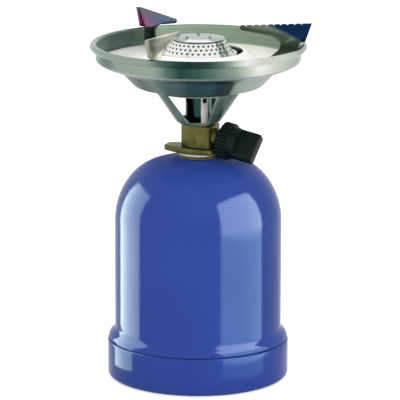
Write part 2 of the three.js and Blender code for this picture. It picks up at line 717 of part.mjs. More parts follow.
// Holes for the rivets, through a sheet between two heights
function rivetHoles(bottom, top) {
  return around(BRACKET_ARM_COUNT, BRACKET_FIRST_ARM, () => (
    rod(rivetHole, bottom - CUT_OVERRUN, top + CUT_OVERRUN, HEX_SIDES).translate([rivetCircle, 0, 0])
  ));
}

// Rivet through the bracket's flange and the bowl's floor
function panRivet() {
  const bottom = bracketTop - BRACKET_WALL - SEAT_GAP;
  const top = bowlBottom + BOWL_WALL + SEAT_GAP;
  return turned([
    [0, bottom - RIVET_HEAD_HEIGHT],
    [RIVET_HEAD_RADIUS, bottom],
    [RIVET_RADIUS, bottom],
    [RIVET_RADIUS, top],
    [RIVET_HEAD_RADIUS, top],
    [0, top + RIVET_HEAD_HEIGHT],
  ], HEX_SIDES).translate([rivetCircle, 0, 0]);
}

function gasJet() {
  return ring(JET_BORE, JET_RADIUS, bracketBottom, bracketBottom + JET_HEIGHT, HEX_SIDES);
}

// Mixing tube with its air holes
function mixingTube() {
  const wall = ring(TUBE_RADIUS - TUBE_WALL, TUBE_RADIUS, tubeBottom, tubeTop, SMALL_FACETS);
  const holes = around(AIR_HOLE_COUNT, AIR_HOLE_AZIMUTH, () => (
    rod(AIR_HOLE_RADIUS, TUBE_RADIUS / 2, TUBE_RADIUS + CUT_OVERRUN, TINY_FACETS)
      .rotate([0, 90, 0])
      .translate([0, 0, tubeBottom + AIR_HOLE_LEVEL])
  ));
  return wall.subtract(holes);
}

// Funnel that spreads the gas from the tube to the drum
function burnerCup() {
  const path = [
    [tubeHole + CUP_WALL, cupBottom],
    [tubeHole + CUP_WALL, cupBottom + CUP_NECK_LENGTH],
    [CUP_RADIUS - CUP_RIM_WIDTH, cupTop - CUP_WALL],
    [CUP_RADIUS, cupTop - CUP_WALL],
  ];
  return turned(sheet(path, CUP_WALL), PORT_COUNT);
}

// Bowl: floor, cone, shelf, upright wall and rolled lip
function bowl() {
  const floorCorner = BOWL_FLOOR_RADIUS + BOWL_FLOOR_CORNER;
  const curl = LIP_RADIUS - BOWL_WALL;
  const lipCentre = [BOWL_RADIUS + curl, lipMiddle];
  const path = [
    [tubeHole + CUP_WALL + SEAT_GAP, bowlBottom],
    [BOWL_FLOOR_RADIUS, bowlBottom],
    [floorCorner, bowlBottom + BOWL_FLOOR_CORNER / 2],
    [bowlConeRadius, bowlBottom + BOWL_CONE_HEIGHT],
    [bowlShelfRadius, bowlShelf],
    [BOWL_RADIUS, bowlShelf + BOWL_WALL_RISE],
    ...arc(lipCentre, [curl, curl], Math.PI, Math.PI - LIP_SWEEP, LIP_STEPS),
  ];
  const shell = turned(sheet(path, BOWL_WALL));
  return shell.subtract(rivetHoles(bowlBottom, bowlBottom + BOWL_WALL));
}

// Drip tray, nearly flat, with a raised collar at its centre hole
function dripTray() {
  const collarTop = trayBottom + TRAY_COLLAR_RISE;
  const path = [
    [TRAY_HOLE_RADIUS, collarTop],
    [TRAY_COLLAR_RADIUS, collarTop],
    [TRAY_FOOT_RADIUS, trayBottom + TRAY_CROWN],
    [bowlShelfRadius - TRAY_CLEARANCE, trayBottom],
  ];
  return turned(sheet(path, TRAY_WALL));
}

// Six-sided prisms for one row of flame ports, square to the cone of the drum
function portRow(level, turn) {
  const share = level / DRUM_HEIGHT;
  const radius = DRUM_RADIUS + (DRUM_TOP_RADIUS - DRUM_RADIUS) * share;
  const lean = Math.atan2(DRUM_RADIUS - DRUM_TOP_RADIUS, DRUM_HEIGHT);
  return around(PORT_COUNT, turn, () => (
    rod(PORT_RADIUS, -CUT_OVERRUN - DRUM_WALL, CUT_OVERRUN, HEX_SIDES)
      .rotate([0, 90 - THREE.MathUtils.radToDeg(lean), 0])
      .translate([radius, 0, drumBottom + level])
  ));
}

// Burner drum: a perforated cone between a foot flange and a shelf for the cap
function burnerDrum() {
  const path = [
    [DRUM_TOP_RADIUS - DRUM_SHELF_WIDTH, drumTop - DRUM_WALL],
    [DRUM_TOP_RADIUS - DRUM_WALL, drumTop - DRUM_WALL],
    [DRUM_RADIUS - DRUM_WALL, drumBottom],
    [DRUM_RADIUS + DRUM_FLANGE_WIDTH, drumBottom],
  ];
  const halfPort = Math.PI / PORT_COUNT;
  let drum = turned(sheet(path, DRUM_WALL), PORT_COUNT);
  for (let row = 0; row < PORT_ROWS; row += 1) {
    const turn = row % 2 === 0 ? halfPort : 0;
    drum = drum.subtract(portRow(PORT_FIRST_LEVEL + PORT_PITCH * row, turn));
  }
  return drum;
}

// Cap of the burner: flat in the middle, sloping at the edge
function burnerCap() {
  const path = [
    [0, capBottom + CAP_RISE],
    [CAP_FLAT_RADIUS, capBottom + CAP_RISE],
    [CAP_RADIUS, capBottom],
  ];
  return turned(sheet(path, CAP_WALL), PORT_COUNT);
}

// Rivet head on the flat of the cap
function capRivet() {
  const bottom = capBottom + CAP_RISE + CAP_WALL + SEAT_GAP;
  return turned([
    [0, bottom],
    [CAP_RIVET_RADIUS, bottom],
    [CAP_RIVET_RADIUS, bottom + CAP_RIVET_HEAD / 2],
    [0, bottom + CAP_RIVET_HEAD],
  ], HEX_SIDES).translate([CAP_RIVET_CIRCLE, 0, 0]);
}

// Blade outline in [radius, height]: foot, hooked arm over the lip, and a saw-cut top edge
function bladeOutline() {
  const restRadius = bladeOuterRadius - BLADE_REST_WIDTH;
  const slope = BLADE_TOP_SLOPE / (restRadius - bladeInnerRadius);
  const topAt = (radius) => bladeTop - slope * (restRadius - radius);
  const tipTop = topAt(bladeInnerRadius);
  const halfNotch = NOTCH_WIDTH / 2;
  const shape = new THREE.Shape();
  shape.moveTo(TRAY_FOOT_RADIUS + BLADE_FOOT_INSET, bladeBottom);
  shape.lineTo(bladeOuterFoot, bladeBottom);
  shape.lineTo(bladeOuterFoot, bladeOverLip);
  shape.lineTo(bladeLipRadius, bladeOverLip);
  shape.lineTo(bladeOuterRadius, bladeTop);
  for (let notch = restRadius - halfNotch; notch > bladeInnerRadius + NOTCH_MARGIN; notch -= NOTCH_PITCH) {
    shape.lineTo(notch + halfNotch, topAt(notch + halfNotch));
    shape.lineTo(notch, topAt(notch) - NOTCH_DEPTH);
    shape.lineTo(notch - halfNotch, topAt(notch - halfNotch));
  }
  shape.lineTo(bladeInnerRadius + BLADE_TIP_CORNER, topAt(bladeInnerRadius + BLADE_TIP_CORNER));
  shape.lineTo(bladeInnerRadius, tipTop - BLADE_TIP_CORNER);
  shape.lineTo(bladeInnerRadius, tipTop - BLADE_TIP_DEPTH);
  shape.lineTo(bladeOuterFoot - BLADE_NECK_WIDTH, bladeBottom + BLADE_NECK_RISE);
  shape.lineTo(bladeOuterFoot - BLADE_KNEE_WIDTH, bladeBottom + BLADE_KNEE_RISE);
  shape.lineTo(bladeOuterFoot - BLADE_HEEL_WIDTH, bladeBottom + BLADE_HEEL_RISE);
  return shape;
}

// Stiffening flange folded along the sloping outer edge of a blade
function bladeFlangeOutline() {
  return new THREE.Shape([
    new THREE.Vector2(bladeLipRadius - BLADE_THICKNESS, bladeOverLip),
    new THREE.Vector2(bladeLipRadius, bladeOverLip),
    new THREE.Vector2(bladeOuterRadius, bladeTop),
    new THREE.Vector2(bladeOuterRadius - BLADE_THICKNESS, bladeTop),
  ]);
}

// Blade in the plane of +X and +Z, with its folded flange towards +Y
function potBlade() {
  const half = BLADE_THICKNESS / 2;
  const web = plate(bladeOutline(), -half, half);
  const flange = plate(bladeFlangeOutline(), -half - BLADE_FLANGE_WIDTH, 0);
  return web.add(flange).rotate([90, 0, 0]);
}

// Colours and finishes, one for each kind of surface
const FINISHES = {
  bluePaint: { color: 0x3048a0, roughness: 0.25, metalness: 0.1 },
  steel: { color: 0xb8bdb8, roughness: 0.28, metalness: 1 },
  darkSteel: { color: 0x59625f, roughness: 0.35, metalness: 1 },
  temperedSteel: { color: 0x4a5c8c, roughness: 0.3, metalness: 1 },
  brass: { color: 0x8d8245, roughness: 0.4, metalness: 0.9 },
  zinc: { color: 0xc9cbc4, roughness: 0.4, metalness: 0.9 },
  blackPlastic: { color: 0x14201c, roughness: 0.55, metalness: 0 },
  rubber: { color: 0x202020, roughness: 0.8, metalness: 0 },
  fibre: { color: 0xd8d4c4, roughness: 0.8, metalness: 0 },
  whiteTin: { color: 0xd6dadd, roughness: 0.35, metalness: 0.6 },
};

const stove = new THREE.Group();

// Adds one named piece to a group
function addPiece(group, name, solid, finish) {
  const material = new THREE.MeshStandardMaterial({ ...FINISHES[finish], flatShading: true });
  const mesh = new THREE.Mesh(geometryOf(solid), material);
  mesh.name = name;
  group.add(mesh);
  return mesh;
}

// Adds numbered copies of a piece, turned evenly about +Z from a first angle
function addCopies(name, count, first, solid, finish) {
  for (let i = 0; i < count; i += 1) {
    const mesh = addPiece(stove, `${name}_${i + 1}`, solid, finish);
    mesh.rotation.z = first + (Math.PI * 2 * i) / count;
  }
}

// Base and cartridge
addPiece(stove, 'base_cup', baseCup(), 'bluePaint');
addPiece(stove, 'cartridge_collar', cartridgeCollar(), 'zinc');
addPiece(stove, 'gas_cartridge', cartridge(), 'whiteTin');

// Bell with what is fixed in it
addPiece(stove, 'bell_housing', bell(), 'bluePaint');
addCopies('bell_lug', LUG_COUNT, 0, bellLug(), 'zinc');
addPiece(stove, 'neck_bushing', neckBushing(), 'zinc');
addPiece(stove, 'bushing_nut', bushingNut(), 'zinc');
addPiece(stove, 'sealing_washer', sealingWasher(), 'fibre');

// Valve unit on the axis of the bell
addPiece(stove, 'threaded_stem', threadedStem(), 'brass');
addPiece(stove, 'piercing_needle', piercingNeedle(), 'steel');
addPiece(stove, 'cartridge_seal', cartridgeSeal(), 'rubber');
const flangeMesh = addPiece(stove, 'hand_flange', handFlange(), 'brass');
flangeMesh.rotation.z = SPINDLE_YAW;
addPiece(stove, 'valve_body', valveBody(), 'brass');

// Pieces on the sloping spindle line, whose own +Z is the line
const spindleYaw = new THREE.Group();
spindleYaw.position.z = spindleLevel;
spindleYaw.rotation.z = SPINDLE_YAW;
stove.add(spindleYaw);
const spindleLine = new THREE.Group();
spindleLine.rotation.y = Math.PI / 2 + SPINDLE_TILT;
spindleYaw.add(spindleLine);
addPiece(spindleLine, 'valve_spindle', valveSpindle(), 'steel');
addPiece(spindleLine, 'spindle_seal', spindleSeal(), 'rubber');
addPiece(spindleLine, 'gland_nut', glandNut(), 'brass');
const knobMesh = addPiece(spindleLine, 'control_knob', controlKnob(), 'blackPlastic');
knobMesh.rotation.z = KNOB_ROLL;

// Burner unit
addPiece(stove, 'gas_jet', gasJet(), 'brass');
addPiece(stove, 'burner_bracket', burnerBracket(), 'darkSteel');
addPiece(stove, 'mixing_tube', mixingTube(), 'darkSteel');
addCopies('pan_rivet', BRACKET_ARM_COUNT, BRACKET_FIRST_ARM, panRivet(), 'zinc');
addPiece(stove, 'pan_bowl', bowl(), 'steel');
addPiece(stove, 'drip_tray', dripTray(), 'steel');
addPiece(stove, 'burner_cup', burnerCup(), 'steel');
addPiece(stove, 'burner_drum', burnerDrum(), 'steel');
addPiece(stove, 'burner_cap', burnerCap(), 'steel');
addCopies('cap_rivet', CAP_RIVET_COUNT, Math.PI / 2, capRivet(), 'steel');

BLADE_AZIMUTHS.forEach((degrees, i) => {
  const mesh = addPiece(stove, `pot_blade_${i + 1}`, potBlade(), 'temperedSteel');
  mesh.rotation.z = THREE.MathUtils.degToRad(degrees);
});

export default stove;
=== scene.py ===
"""Dresses the fixed frame of a portable gas stove: shells, perforations, finishes, light and camera."""

import math

import bmesh
import bpy
from bpy.props import FloatProperty, FloatVectorProperty, IntProperty, PointerProperty
from mathutils import Matrix, Vector


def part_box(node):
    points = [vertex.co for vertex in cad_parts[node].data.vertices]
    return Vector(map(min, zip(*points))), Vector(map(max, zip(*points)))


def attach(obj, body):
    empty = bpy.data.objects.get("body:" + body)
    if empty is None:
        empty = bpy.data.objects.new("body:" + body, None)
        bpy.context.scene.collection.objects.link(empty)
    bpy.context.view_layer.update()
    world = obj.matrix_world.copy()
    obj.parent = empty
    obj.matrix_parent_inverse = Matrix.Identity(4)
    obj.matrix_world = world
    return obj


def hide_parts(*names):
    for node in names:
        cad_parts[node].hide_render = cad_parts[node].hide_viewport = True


bl_info = {
    "name": "Portable Gas Stove",
    "version": (1, 0, 0),
    "blender": (4, 5, 0),
    "location": "View3D > Sidebar > Stove",
    "description": "Builds the finished surface of a portable gas stove round its fixed frame",
    "category": "Add Mesh",
}

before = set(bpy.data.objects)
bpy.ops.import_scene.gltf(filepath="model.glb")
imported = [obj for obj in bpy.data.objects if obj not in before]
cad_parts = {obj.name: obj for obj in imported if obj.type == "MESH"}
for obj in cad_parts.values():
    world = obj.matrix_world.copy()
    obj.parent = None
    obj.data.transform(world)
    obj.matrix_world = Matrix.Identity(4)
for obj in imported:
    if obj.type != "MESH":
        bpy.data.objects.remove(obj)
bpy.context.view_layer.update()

SEGMENTS = 180
SMALL_SEGMENTS = 72
PAN_SEGMENTS = 240
DRUM_SEGMENTS = 144
PIPE_SEGMENTS = 96
DRILL_SEGMENTS = 32
RIVET_SEGMENTS = 24
OVERRUN = 0.001
SHARP_ANGLE = math.radians(32)
EDGE_ANGLE = math.radians(30)
CORNER_ANGLE = math.radians(40)
WIDE_ANGLE = math.radians(50)
STEEP_ANGLE = math.radians(60)
CLEARANCE = 0.0003


def bottom_of(node):
    """Height of the lowest point of a frame node, in metres."""
    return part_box(node)[0].z


def top_of(node):
    """Height of the highest point of a frame node, in metres."""
    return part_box(node)[1].z


def levels(node):
    """Heights of the lowest and the highest point of a frame node, in metres."""
    return bottom_of(node), top_of(node)


# Outlines of turned and pressed pieces


def arc(centre, radii, start, end, steps):
    """Points of an elliptical arc, with angles in degrees."""
    points = []
    for i in range(steps + 1):
        angle = math.radians(start + (end - start) * i / steps)
        points.append((centre[0] + radii[0] * math.cos(angle), centre[1] + radii[1] * math.sin(angle)))
    return points


def eased(start, end, steps):
    """Points of a smooth S from one point to another, upright at both ends."""
    points = []
    for i in range(steps + 1):
        share = i / steps
        blend = share * share * (3 - 2 * share)
        points.append((start[0] + (end[0] - start[0]) * blend, start[1] + (end[1] - start[1]) * share))
    return points


def rounded(path, radius, steps=5, closed=False):
    """The path with each inner corner replaced by a short curve."""
    count = len(path)
    result = []
    for i, point in enumerate(path):
        if not closed and i in (0, count - 1):
            result.append(tuple(point))
            continue
        here = Vector(point)
        before = Vector(path[i - 1]) - here
        after = Vector(path[(i + 1) % count]) - here
        room = min(radius, before.length * 0.45, after.length * 0.45)
        start, end = here + before.normalized() * room, here + after.normalized() * room
        for k in range(steps + 1):
            t = k / steps
            spot = start * (1 - t) ** 2 + here * 2 * t * (1 - t) + end * t * t
            result.append(tuple(spot))
    return result


def sheet(path, wall):
    """Closed outline of bent sheet: the path and its copy one wall to the left of it."""
    points = [Vector(p) for p in path]
    offset = []
    last = len(points) - 1
    for i, point in enumerate(points):
        before = (points[max(i, 1)] - points[max(i - 1, 0)]).normalized()
        after = (points[min(i + 1, last)] - points[min(i, last - 1)]).normalized()
        along = (before + after).normalized()
        reach = wall / max(along.dot(after), 0.4)
        offset.append((max(point.x - along.y * reach, 0.0), point.y + along.x * reach))
    return [tuple(p) for p in points] + offset[::-1]


# Meshes


def new_object(name, data):
    """New object in the scene, at the origin."""
    obj = bpy.data.objects.new(name, data)
    bpy.context.scene.collection.objects.link(obj)
    return obj


def mesh_object(name, vertices, faces):
    """New object with a closed mesh whose faces point out, at the origin."""
    mesh = bpy.data.meshes.new(name)
    mesh.from_pydata(vertices, [], faces)
    mesh.validate()
    turn_outwards(mesh)
    return new_object(name, mesh)


def turn_outwards(mesh):
    """Merges doubles and turns the faces of a closed mesh outwards by the sign of its volume."""
    work = bmesh.new()
    work.from_mesh(mesh)
    bmesh.ops.remove_doubles(work, verts=work.verts, dist=1e-7)
    bmesh.ops.recalc_face_normals(work, faces=work.faces)
    if work.calc_volume(signed=True) < 0:
        bmesh.ops.reverse_faces(work, faces=work.faces)
    work.to_mesh(mesh)
    work.free()
    mesh.update()


def turned(name, outline, segments=SEGMENTS):
    """Solid of revolution about +Z from a closed outline of (radius, height)."""
    vertices, rings, faces = [], [], []
    for radius, height in outline:
        if radius < 1e-7:
            rings.append([len(vertices)] * segments)
            vertices.append((0.0, 0.0, height))
            continue
        ring = []
        for i in range(segments):
            angle = 2 * math.pi * i / segments
            ring.append(len(vertices))
            vertices.append((radius * math.cos(angle), radius * math.sin(angle), height))
        rings.append(ring)
    for lower, upper in zip(rings, rings[1:] + rings[:1]):
        for i in range(segments):
            j = (i + 1) % segments
            corners = []
            for corner in (lower[i], lower[j], upper[j], upper[i]):
                if corner not in corners:
                    corners.append(corner)
            if len(corners) > 2:
                faces.append(corners)
    return mesh_object(name, vertices, faces)


def prism(name, outline, bottom, top):
    """Solid between two heights with a closed outline of (x, y)."""
    count = len(outline)
    vertices = [(x, y, bottom) for x, y in outline] + [(x, y, top) for x, y in outline]
    faces = [list(range(count))[::-1], list(range(count, 2 * count))]
    for i in range(count):
        j = (i + 1) % count
        faces.append([i, j, count + j, count + i])
    return mesh_object(name, vertices, faces)


def rod(name, radius, bottom, top, segments):
    """Plain rod along +Z between two heights."""
    return turned(name, [(0.0, bottom), (radius, bottom), (radius, top), (0.0, top)], segments)


def pipe(name, inner, outer, bottom, top, edge, steps, segments):
    """Pipe or washer along +Z between two heights, with rounded edges."""
    outline = [(inner, bottom), (outer, bottom), (outer, top), (inner, top)]
    return turned(name, rounded(outline, edge, steps, closed=True), segments)


def baked(obj):
    """Replaces an object's mesh by its evaluated one and removes its modifiers."""
    graph = bpy.context.evaluated_depsgraph_get()
    mesh = bpy.data.meshes.new_from_object(obj.evaluated_get(graph), depsgraph=graph)
    obj.modifiers.clear()
    old = obj.data
    obj.data = mesh
    bpy.data.meshes.remove(old)
    return obj


def shaded(obj, angle=SHARP_ANGLE):
    """Shades a mesh smooth, with sharp edges past an angle."""
    for polygon in obj.data.polygons:
        polygon.use_smooth = True
    obj.data.set_sharp_from_angle(angle=angle)
    return obj


def modified(obj, kind, **settings):
    """Puts a modifier with its settings on an object, and bakes it into the mesh."""
    modifier = obj.modifiers.new(kind.lower(), kind)
    for key, value in settings.items():
        setattr(modifier, key, value)
    return baked(obj)


def bevelled(obj, width, segments=3, angle=EDGE_ANGLE):
    """Rounds the edges of an object that turn by more than an angle."""
    return modified(
        obj, "BEVEL", width=width, segments=segments, limit_method="ANGLE", angle_limit=angle,
        harden_normals=False,
    )


def combined(obj, other, operation):
    """Joins or cuts one closed mesh with another, and removes the other."""
    modified(obj, "BOOLEAN", operation=operation, solver="EXACT", object=other)
    remove(other)
    return obj


def remove(obj):
    """Deletes a helper object and its mesh."""
    mesh = obj.data
    bpy.data.objects.remove(obj)
    bpy.data.meshes.remove(mesh)


def placed(obj, matrix):
    """Moves the mesh itself, so that the object stays at the origin."""
    obj.data.transform(matrix)
    obj.data.update()
    return obj


def finished(obj, body, finish, slot, *nodes):
    """Gives a piece its finish and its body, and hides the frame nodes that it stands for. The slot is not
    used.
    """
    obj.data.materials.clear()
    obj.data.materials.append(finish_of(finish))
    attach(obj, body)
    if nodes:
        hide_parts(*nodes)
    return obj


def zoned(obj, zones):
    """Gives the faces of a piece that pass a test of (centre, normal) another finish."""
    for finish, belongs in zones:
        obj.data.materials.append(finish_of(finish))
        place = len(obj.data.materials) - 1
        for polygon in obj.data.polygons:
            if belongs(polygon.center, polygon.normal):
                polygon.material_index = place
    return obj


def outward(centre, normal):
    """How far a face looks away from the axis."""
    return centre.xy.normalized().dot(normal.xy)


# Node trees


class Nodes:
    """A node tree under construction."""

    def __init__(self, tree):
        self.tree = tree

    def fill(self, node, inputs):
        """Sets inputs of a node by name or place, or links them where the value is a socket."""
        for key, value in inputs.items():
            if isinstance(value, bpy.types.NodeSocket):
                self.tree.links.new(value, node.inputs[key])
            else:
                node.inputs[key].default_value = value

    def add(self, kind, inputs=None, **settings):
        """Adds a node with its settings and inputs."""
        node = self.tree.nodes.new(kind)
        for key, value in settings.items():
            setattr(node, key, value)
        self.fill(node, inputs or {})
        return node

    def math(self, operation, *values):
        """Output of a math node."""
        return self.add("ShaderNodeMath", dict(enumerate(values)), operation=operation).outputs[0]

    def plus(self, first, second):
        """Sum of two values."""
        return self.math("ADD", first, second)

    def times(self, first, second):
        """Product of two values."""
        return self.math("MULTIPLY", first, second)

    def vector(self, **parts):
        """Vector from its X, Y and Z."""
        return self.add("ShaderNodeCombineXYZ", parts).outputs[0]

    def spread(self, factor, low, high):
        """Maps a factor from 0..1 to a range."""
        return self.add("ShaderNodeMapRange", {"Value": factor, "To Min": low, "To Max": high}).outputs[0]

    def seen(self, *rays):
        """Output that is 1 for the named kinds of ray and 0 for others."""
        path = self.add("ShaderNodeLightPath").outputs
        share = path[rays[0]]
        for ray in rays[1:]:
            share = self.math("MAXIMUM", share, path[ray])
        return share


# Geometry Nodes


class Tree(Nodes):
    """A Geometry Nodes group under construction, whose inputs are given as (name, kind)."""

    def __init__(self, name, inputs):
        super().__init__(bpy.data.node_groups.new(name, "GeometryNodeTree"))
        face = self.tree.interface
        for label, kind in (("Geometry", "Geometry"), *inputs, ("Material", "Material")):
            face.new_socket(label, in_out="INPUT", socket_type=f"NodeSocket{kind}")
        face.new_socket("Geometry", in_out="OUTPUT", socket_type="NodeSocketGeometry")
        self.given = self.add("NodeGroupInput").outputs
        self.result = self.add("NodeGroupOutput")
        self.index = self.add("GeometryNodeInputIndex").outputs[0]

    def points(self, count, spot=None):
        """Points, each at the place that its number gives."""
        points = self.add("GeometryNodePoints", {"Count": count}).outputs[0]
        if spot is None:
            return points
        return self.add("GeometryNodeSetPosition", {"Geometry": points, "Position": spot}).outputs[0]

    def part(self):
        """Geometry of the object given as Part."""
        node = self.add("GeometryNodeObjectInfo", {"Object": self.given["Part"]}, transform_space="ORIGINAL")
        return node.outputs["Geometry"]

    def copies(self, points, part, **inputs):
        """Copies of a part on points."""
        values = {"Points": points, "Instance": part, **inputs}
        return self.add("GeometryNodeInstanceOnPoints", values).outputs[0]

    def ring(self):
        """Copies of the part turned evenly about +Z, from the first angle."""
        step = self.math("DIVIDE", 2 * math.pi, self.given["Count"])
        turn = self.plus(self.times(self.index, step), self.given["First angle"])
        rotation = self.add("FunctionNodeEulerToRotation", {"Euler": self.vector(Z=turn)}).outputs[0]
        return self.copies(self.points(self.given["Count"]), self.part(), Rotation=rotation)

    def cut(self, copies):
        """Ends the tree with the copies cut out of what it is given."""
        cutters = self.add("GeometryNodeRealizeInstances", {"Geometry": copies}).outputs[0]
        cut = self.add(
            "GeometryNodeMeshBoolean", {0: self.given["Geometry"], 1: cutters},
            operation="DIFFERENCE", solver="EXACT",
        )
        return self.close(cut.outputs[0])

    def close(self, geometry):
        """Ends the tree in Realize Instances and Set Material."""
        real = self.add("GeometryNodeRealizeInstances", {"Geometry": geometry}).outputs[0]
        values = {"Geometry": real, "Material": self.given["Material"]}
        self.fill(self.result, {0: self.add("GeometryNodeSetMaterial", values).outputs[0]})
        return self.tree


RING_INPUTS = (("Part", "Object"), ("Count", "Int"), ("First angle", "Float"))
ROW_INPUTS = (("Part", "Object"), ("Count", "Int"), ("Pitch", "Float"), ("Rise", "Float"))
PORT_INPUTS = (
    ("Ports in a row", "Int"), ("Rows", "Int"), ("Port radius", "Float"), ("First level", "Float"),
    ("Pitch", "Float"), ("Foot radius", "Float"), ("Lean", "Float"), ("Depth", "Float"),
    ("Base height", "Float"),
)
PORT_SIDES = 14


def ring_copies_tree():
    """Tree that sets copies of a part round +Z and adds them to what it is given."""
    tree = Tree("Copies round the axis", RING_INPUTS)
    joined = tree.add("GeometryNodeJoinGeometry")
    copies = tree.ring()
    for geometry in (tree.given["Geometry"], copies):
        tree.fill(joined, {0: geometry})
    return tree.close(joined.outputs[0])


def ring_cut_tree():
    """Tree that cuts copies of a part, set round +Z, out of a shell."""
    tree = Tree("Cuts round the axis", RING_INPUTS)
    return tree.cut(tree.ring())


def row_cut_tree():
    """Tree that cuts copies of a part, set in a straight row along +X, out of a plate."""
    tree = Tree("Cuts in a row", ROW_INPUTS)
    given = tree.given
    spot = tree.vector(X=tree.times(tree.index, given["Pitch"]), Y=tree.times(tree.index, given["Rise"]))
    return tree.cut(tree.copies(tree.points(given["Count"], spot), tree.part()))


def port_rows_tree():
    """Tree that pierces a cone with staggered rows of round ports."""
    tree = Tree("Rows of ports", PORT_INPUTS)
    given = tree.given
    count, lean = given["Ports in a row"], given["Lean"]
    row = tree.math("FLOOR", tree.math("DIVIDE", tree.index, count))
    shift = tree.times(tree.math("MODULO", row, 2.0), 0.5)
    place = tree.plus(tree.math("MODULO", tree.index, count), shift)
    angle = tree.times(place, tree.math("DIVIDE", 2 * math.pi, count))
    cosine, sine = tree.math("COSINE", angle), tree.math("SINE", angle)
    level = tree.plus(tree.times(row, given["Pitch"]), given["First level"])
    inset = tree.times(level, tree.math("TANGENT", lean))
    radius = tree.math("SUBTRACT", given["Foot radius"], inset)
    height = tree.plus(level, given["Base height"])
    spot = tree.vector(X=tree.times(radius, cosine), Y=tree.times(radius, sine), Z=height)
    flat = tree.math("COSINE", lean)
    square = tree.vector(X=tree.times(cosine, flat), Y=tree.times(sine, flat), Z=tree.math("SINE", lean))
    rotation = tree.add("FunctionNodeAlignRotationToVector", {"Vector": square}, axis="Z").outputs[0]
    drill = tree.add("GeometryNodeMeshCylinder", {
        "Vertices": PORT_SIDES, "Radius": given["Port radius"], "Depth": given["Depth"],
    }).outputs[0]
    points = tree.points(tree.times(count, given["Rows"]), spot)
    return tree.cut(tree.copies(points, drill, Rotation=rotation))


def patterned(obj, group, values):
    """Runs a Geometry Nodes tree on an object and keeps the result as a plain mesh."""
    modifier = obj.modifiers.new(group.name, "NODES")
    modifier.node_group = group
    for item in group.interface.items_tree:
        if item.item_type == "SOCKET" and item.in_out == "INPUT" and item.name in values:
            modifier[item.identifier] = values[item.name]
    return baked(obj)


def round_axis(obj, group, part, count, first_angle, material):
    """Adds or cuts copies of a part round the axis by a tree, and removes the part."""
    patterned(obj, group, {"Part": part, "Count": count, "First angle": first_angle, "Material": material})
    remove(part)


# Materials


class Finish(Nodes):
    """A procedural material under construction, on the piece's Object coordinates."""

    def __init__(self, name, colour, roughness, metallic=0.0, **constants):
        self.material = bpy.data.materials.new(name)
        self.material.use_nodes = True
        super().__init__(self.material.node_tree)
        self.tree.nodes.clear()
        self.shader = self.add("ShaderNodeBsdfPrincipled")
        self.give(Base_Color=(*colour, 1.0), Roughness=roughness, Metallic=metallic, **constants)
        self.output = self.add("ShaderNodeOutputMaterial", {"Surface": self.shader.outputs[0]})
        self.place = self.add("ShaderNodeTexCoord").outputs["Object"]

    def give(self, **values):
        """Sets or links inputs of the shader, by name with _ for a space."""
        self.fill(self.shader, {label.replace("_", " "): value for label, value in values.items()})

    def noise(self, scale, detail=3.0, roughness=0.5, stretch=(1, 1, 1), place=None):
        """Output of a noise texture, with the pattern stretched along the axes."""
        mapping = self.add("ShaderNodeMapping", {"Vector": place or self.place, "Scale": stretch})
        return self.add("ShaderNodeTexNoise", {
            "Vector": mapping.outputs[0], "Scale": scale, "Detail": detail, "Roughness": roughness,
        }).outputs["Fac"]

    def parts(self):
        """The three coordinates of the place."""
        return self.add("ShaderNodeSeparateXYZ", {0: self.place}).outputs

    def rings(self, scale, detail=2.0):
        """Noise that varies with the distance from the axis and the height, as turning marks do."""
        x, y, z = self.parts()
        across = self.math("SQRT", self.plus(self.times(x, x), self.times(y, y)))
        return self.noise(scale, detail, 0.6, place=self.vector(X=across, Z=z))

    def ramp(self, factor, stops):
        """Output of a colour ramp with stops of (place, colour)."""
        node = self.add("ShaderNodeValToRGB", {"Fac": factor})
        line = node.color_ramp
        while len(line.elements) < len(stops):
            line.elements.new(1.0)
        for element, (place, colour) in zip(line.elements, stops):
            element.position = place
            element.color = (*colour, 1.0)
        return node.outputs["Color"]

    def along(self, direction, start, end):
        """Share of the way from one level to another along a direction."""
        dot = self.add("ShaderNodeVectorMath", {0: self.place, 1: direction}, operation="DOT_PRODUCT")
        values = {"Value": dot.outputs["Value"], "From Min": start, "From Max": end}
        return self.add("ShaderNodeMapRange", values).outputs[0]

    def round_tones(self, tones, waver=0.0):
        """Colour by the angle round +Z, from (degrees right of the front, colour)."""
        x, y, _ = self.parts()
        angle = self.math("ARCTAN2", x, self.times(y, -1.0))
        share = self.plus(self.math("DIVIDE", angle, 2 * math.pi), 0.5)
        if waver:
            share = self.plus(share, self.times(self.math("SUBTRACT", self.noise(45, 3), 0.5), waver))
        return self.ramp(share, [(0.5 + degrees / 360, colour) for degrees, colour in tones])

    def mix(self, factor, first, second, blend="MIX"):
        """Output of a colour mix."""
        values = {0: factor, 6: first, 7: second}
        return self.add("ShaderNodeMix", values, data_type="RGBA", blend_type=blend).outputs[2]

    def worn_edges(self, low=0.53, high=0.6):
        """Factor that is 1 on convex edges and 0 elsewhere."""
        pointed = self.add("ShaderNodeNewGeometry").outputs["Pointiness"]
        values = {"Value": pointed, "From Min": low, "From Max": high}
        return self.add("ShaderNodeMapRange", values, interpolation_type="SMOOTHSTEP").outputs[0]

    def bump(self, height, strength, distance):
        """Adds a bump from a height."""
        values = {"Height": height, "Strength": strength, "Distance": distance}
        self.give(Normal=self.add("ShaderNodeBump", values).outputs[0])


def scaled(colour, factor):
    """A colour made lighter or darker."""
    return tuple(min(channel * factor, 1.0) for channel in colour)


# Heights between which the paint grows dull, and by how much
DULL_CROWN = (0.112, 0.128)
DULL_SHARE = 0.35


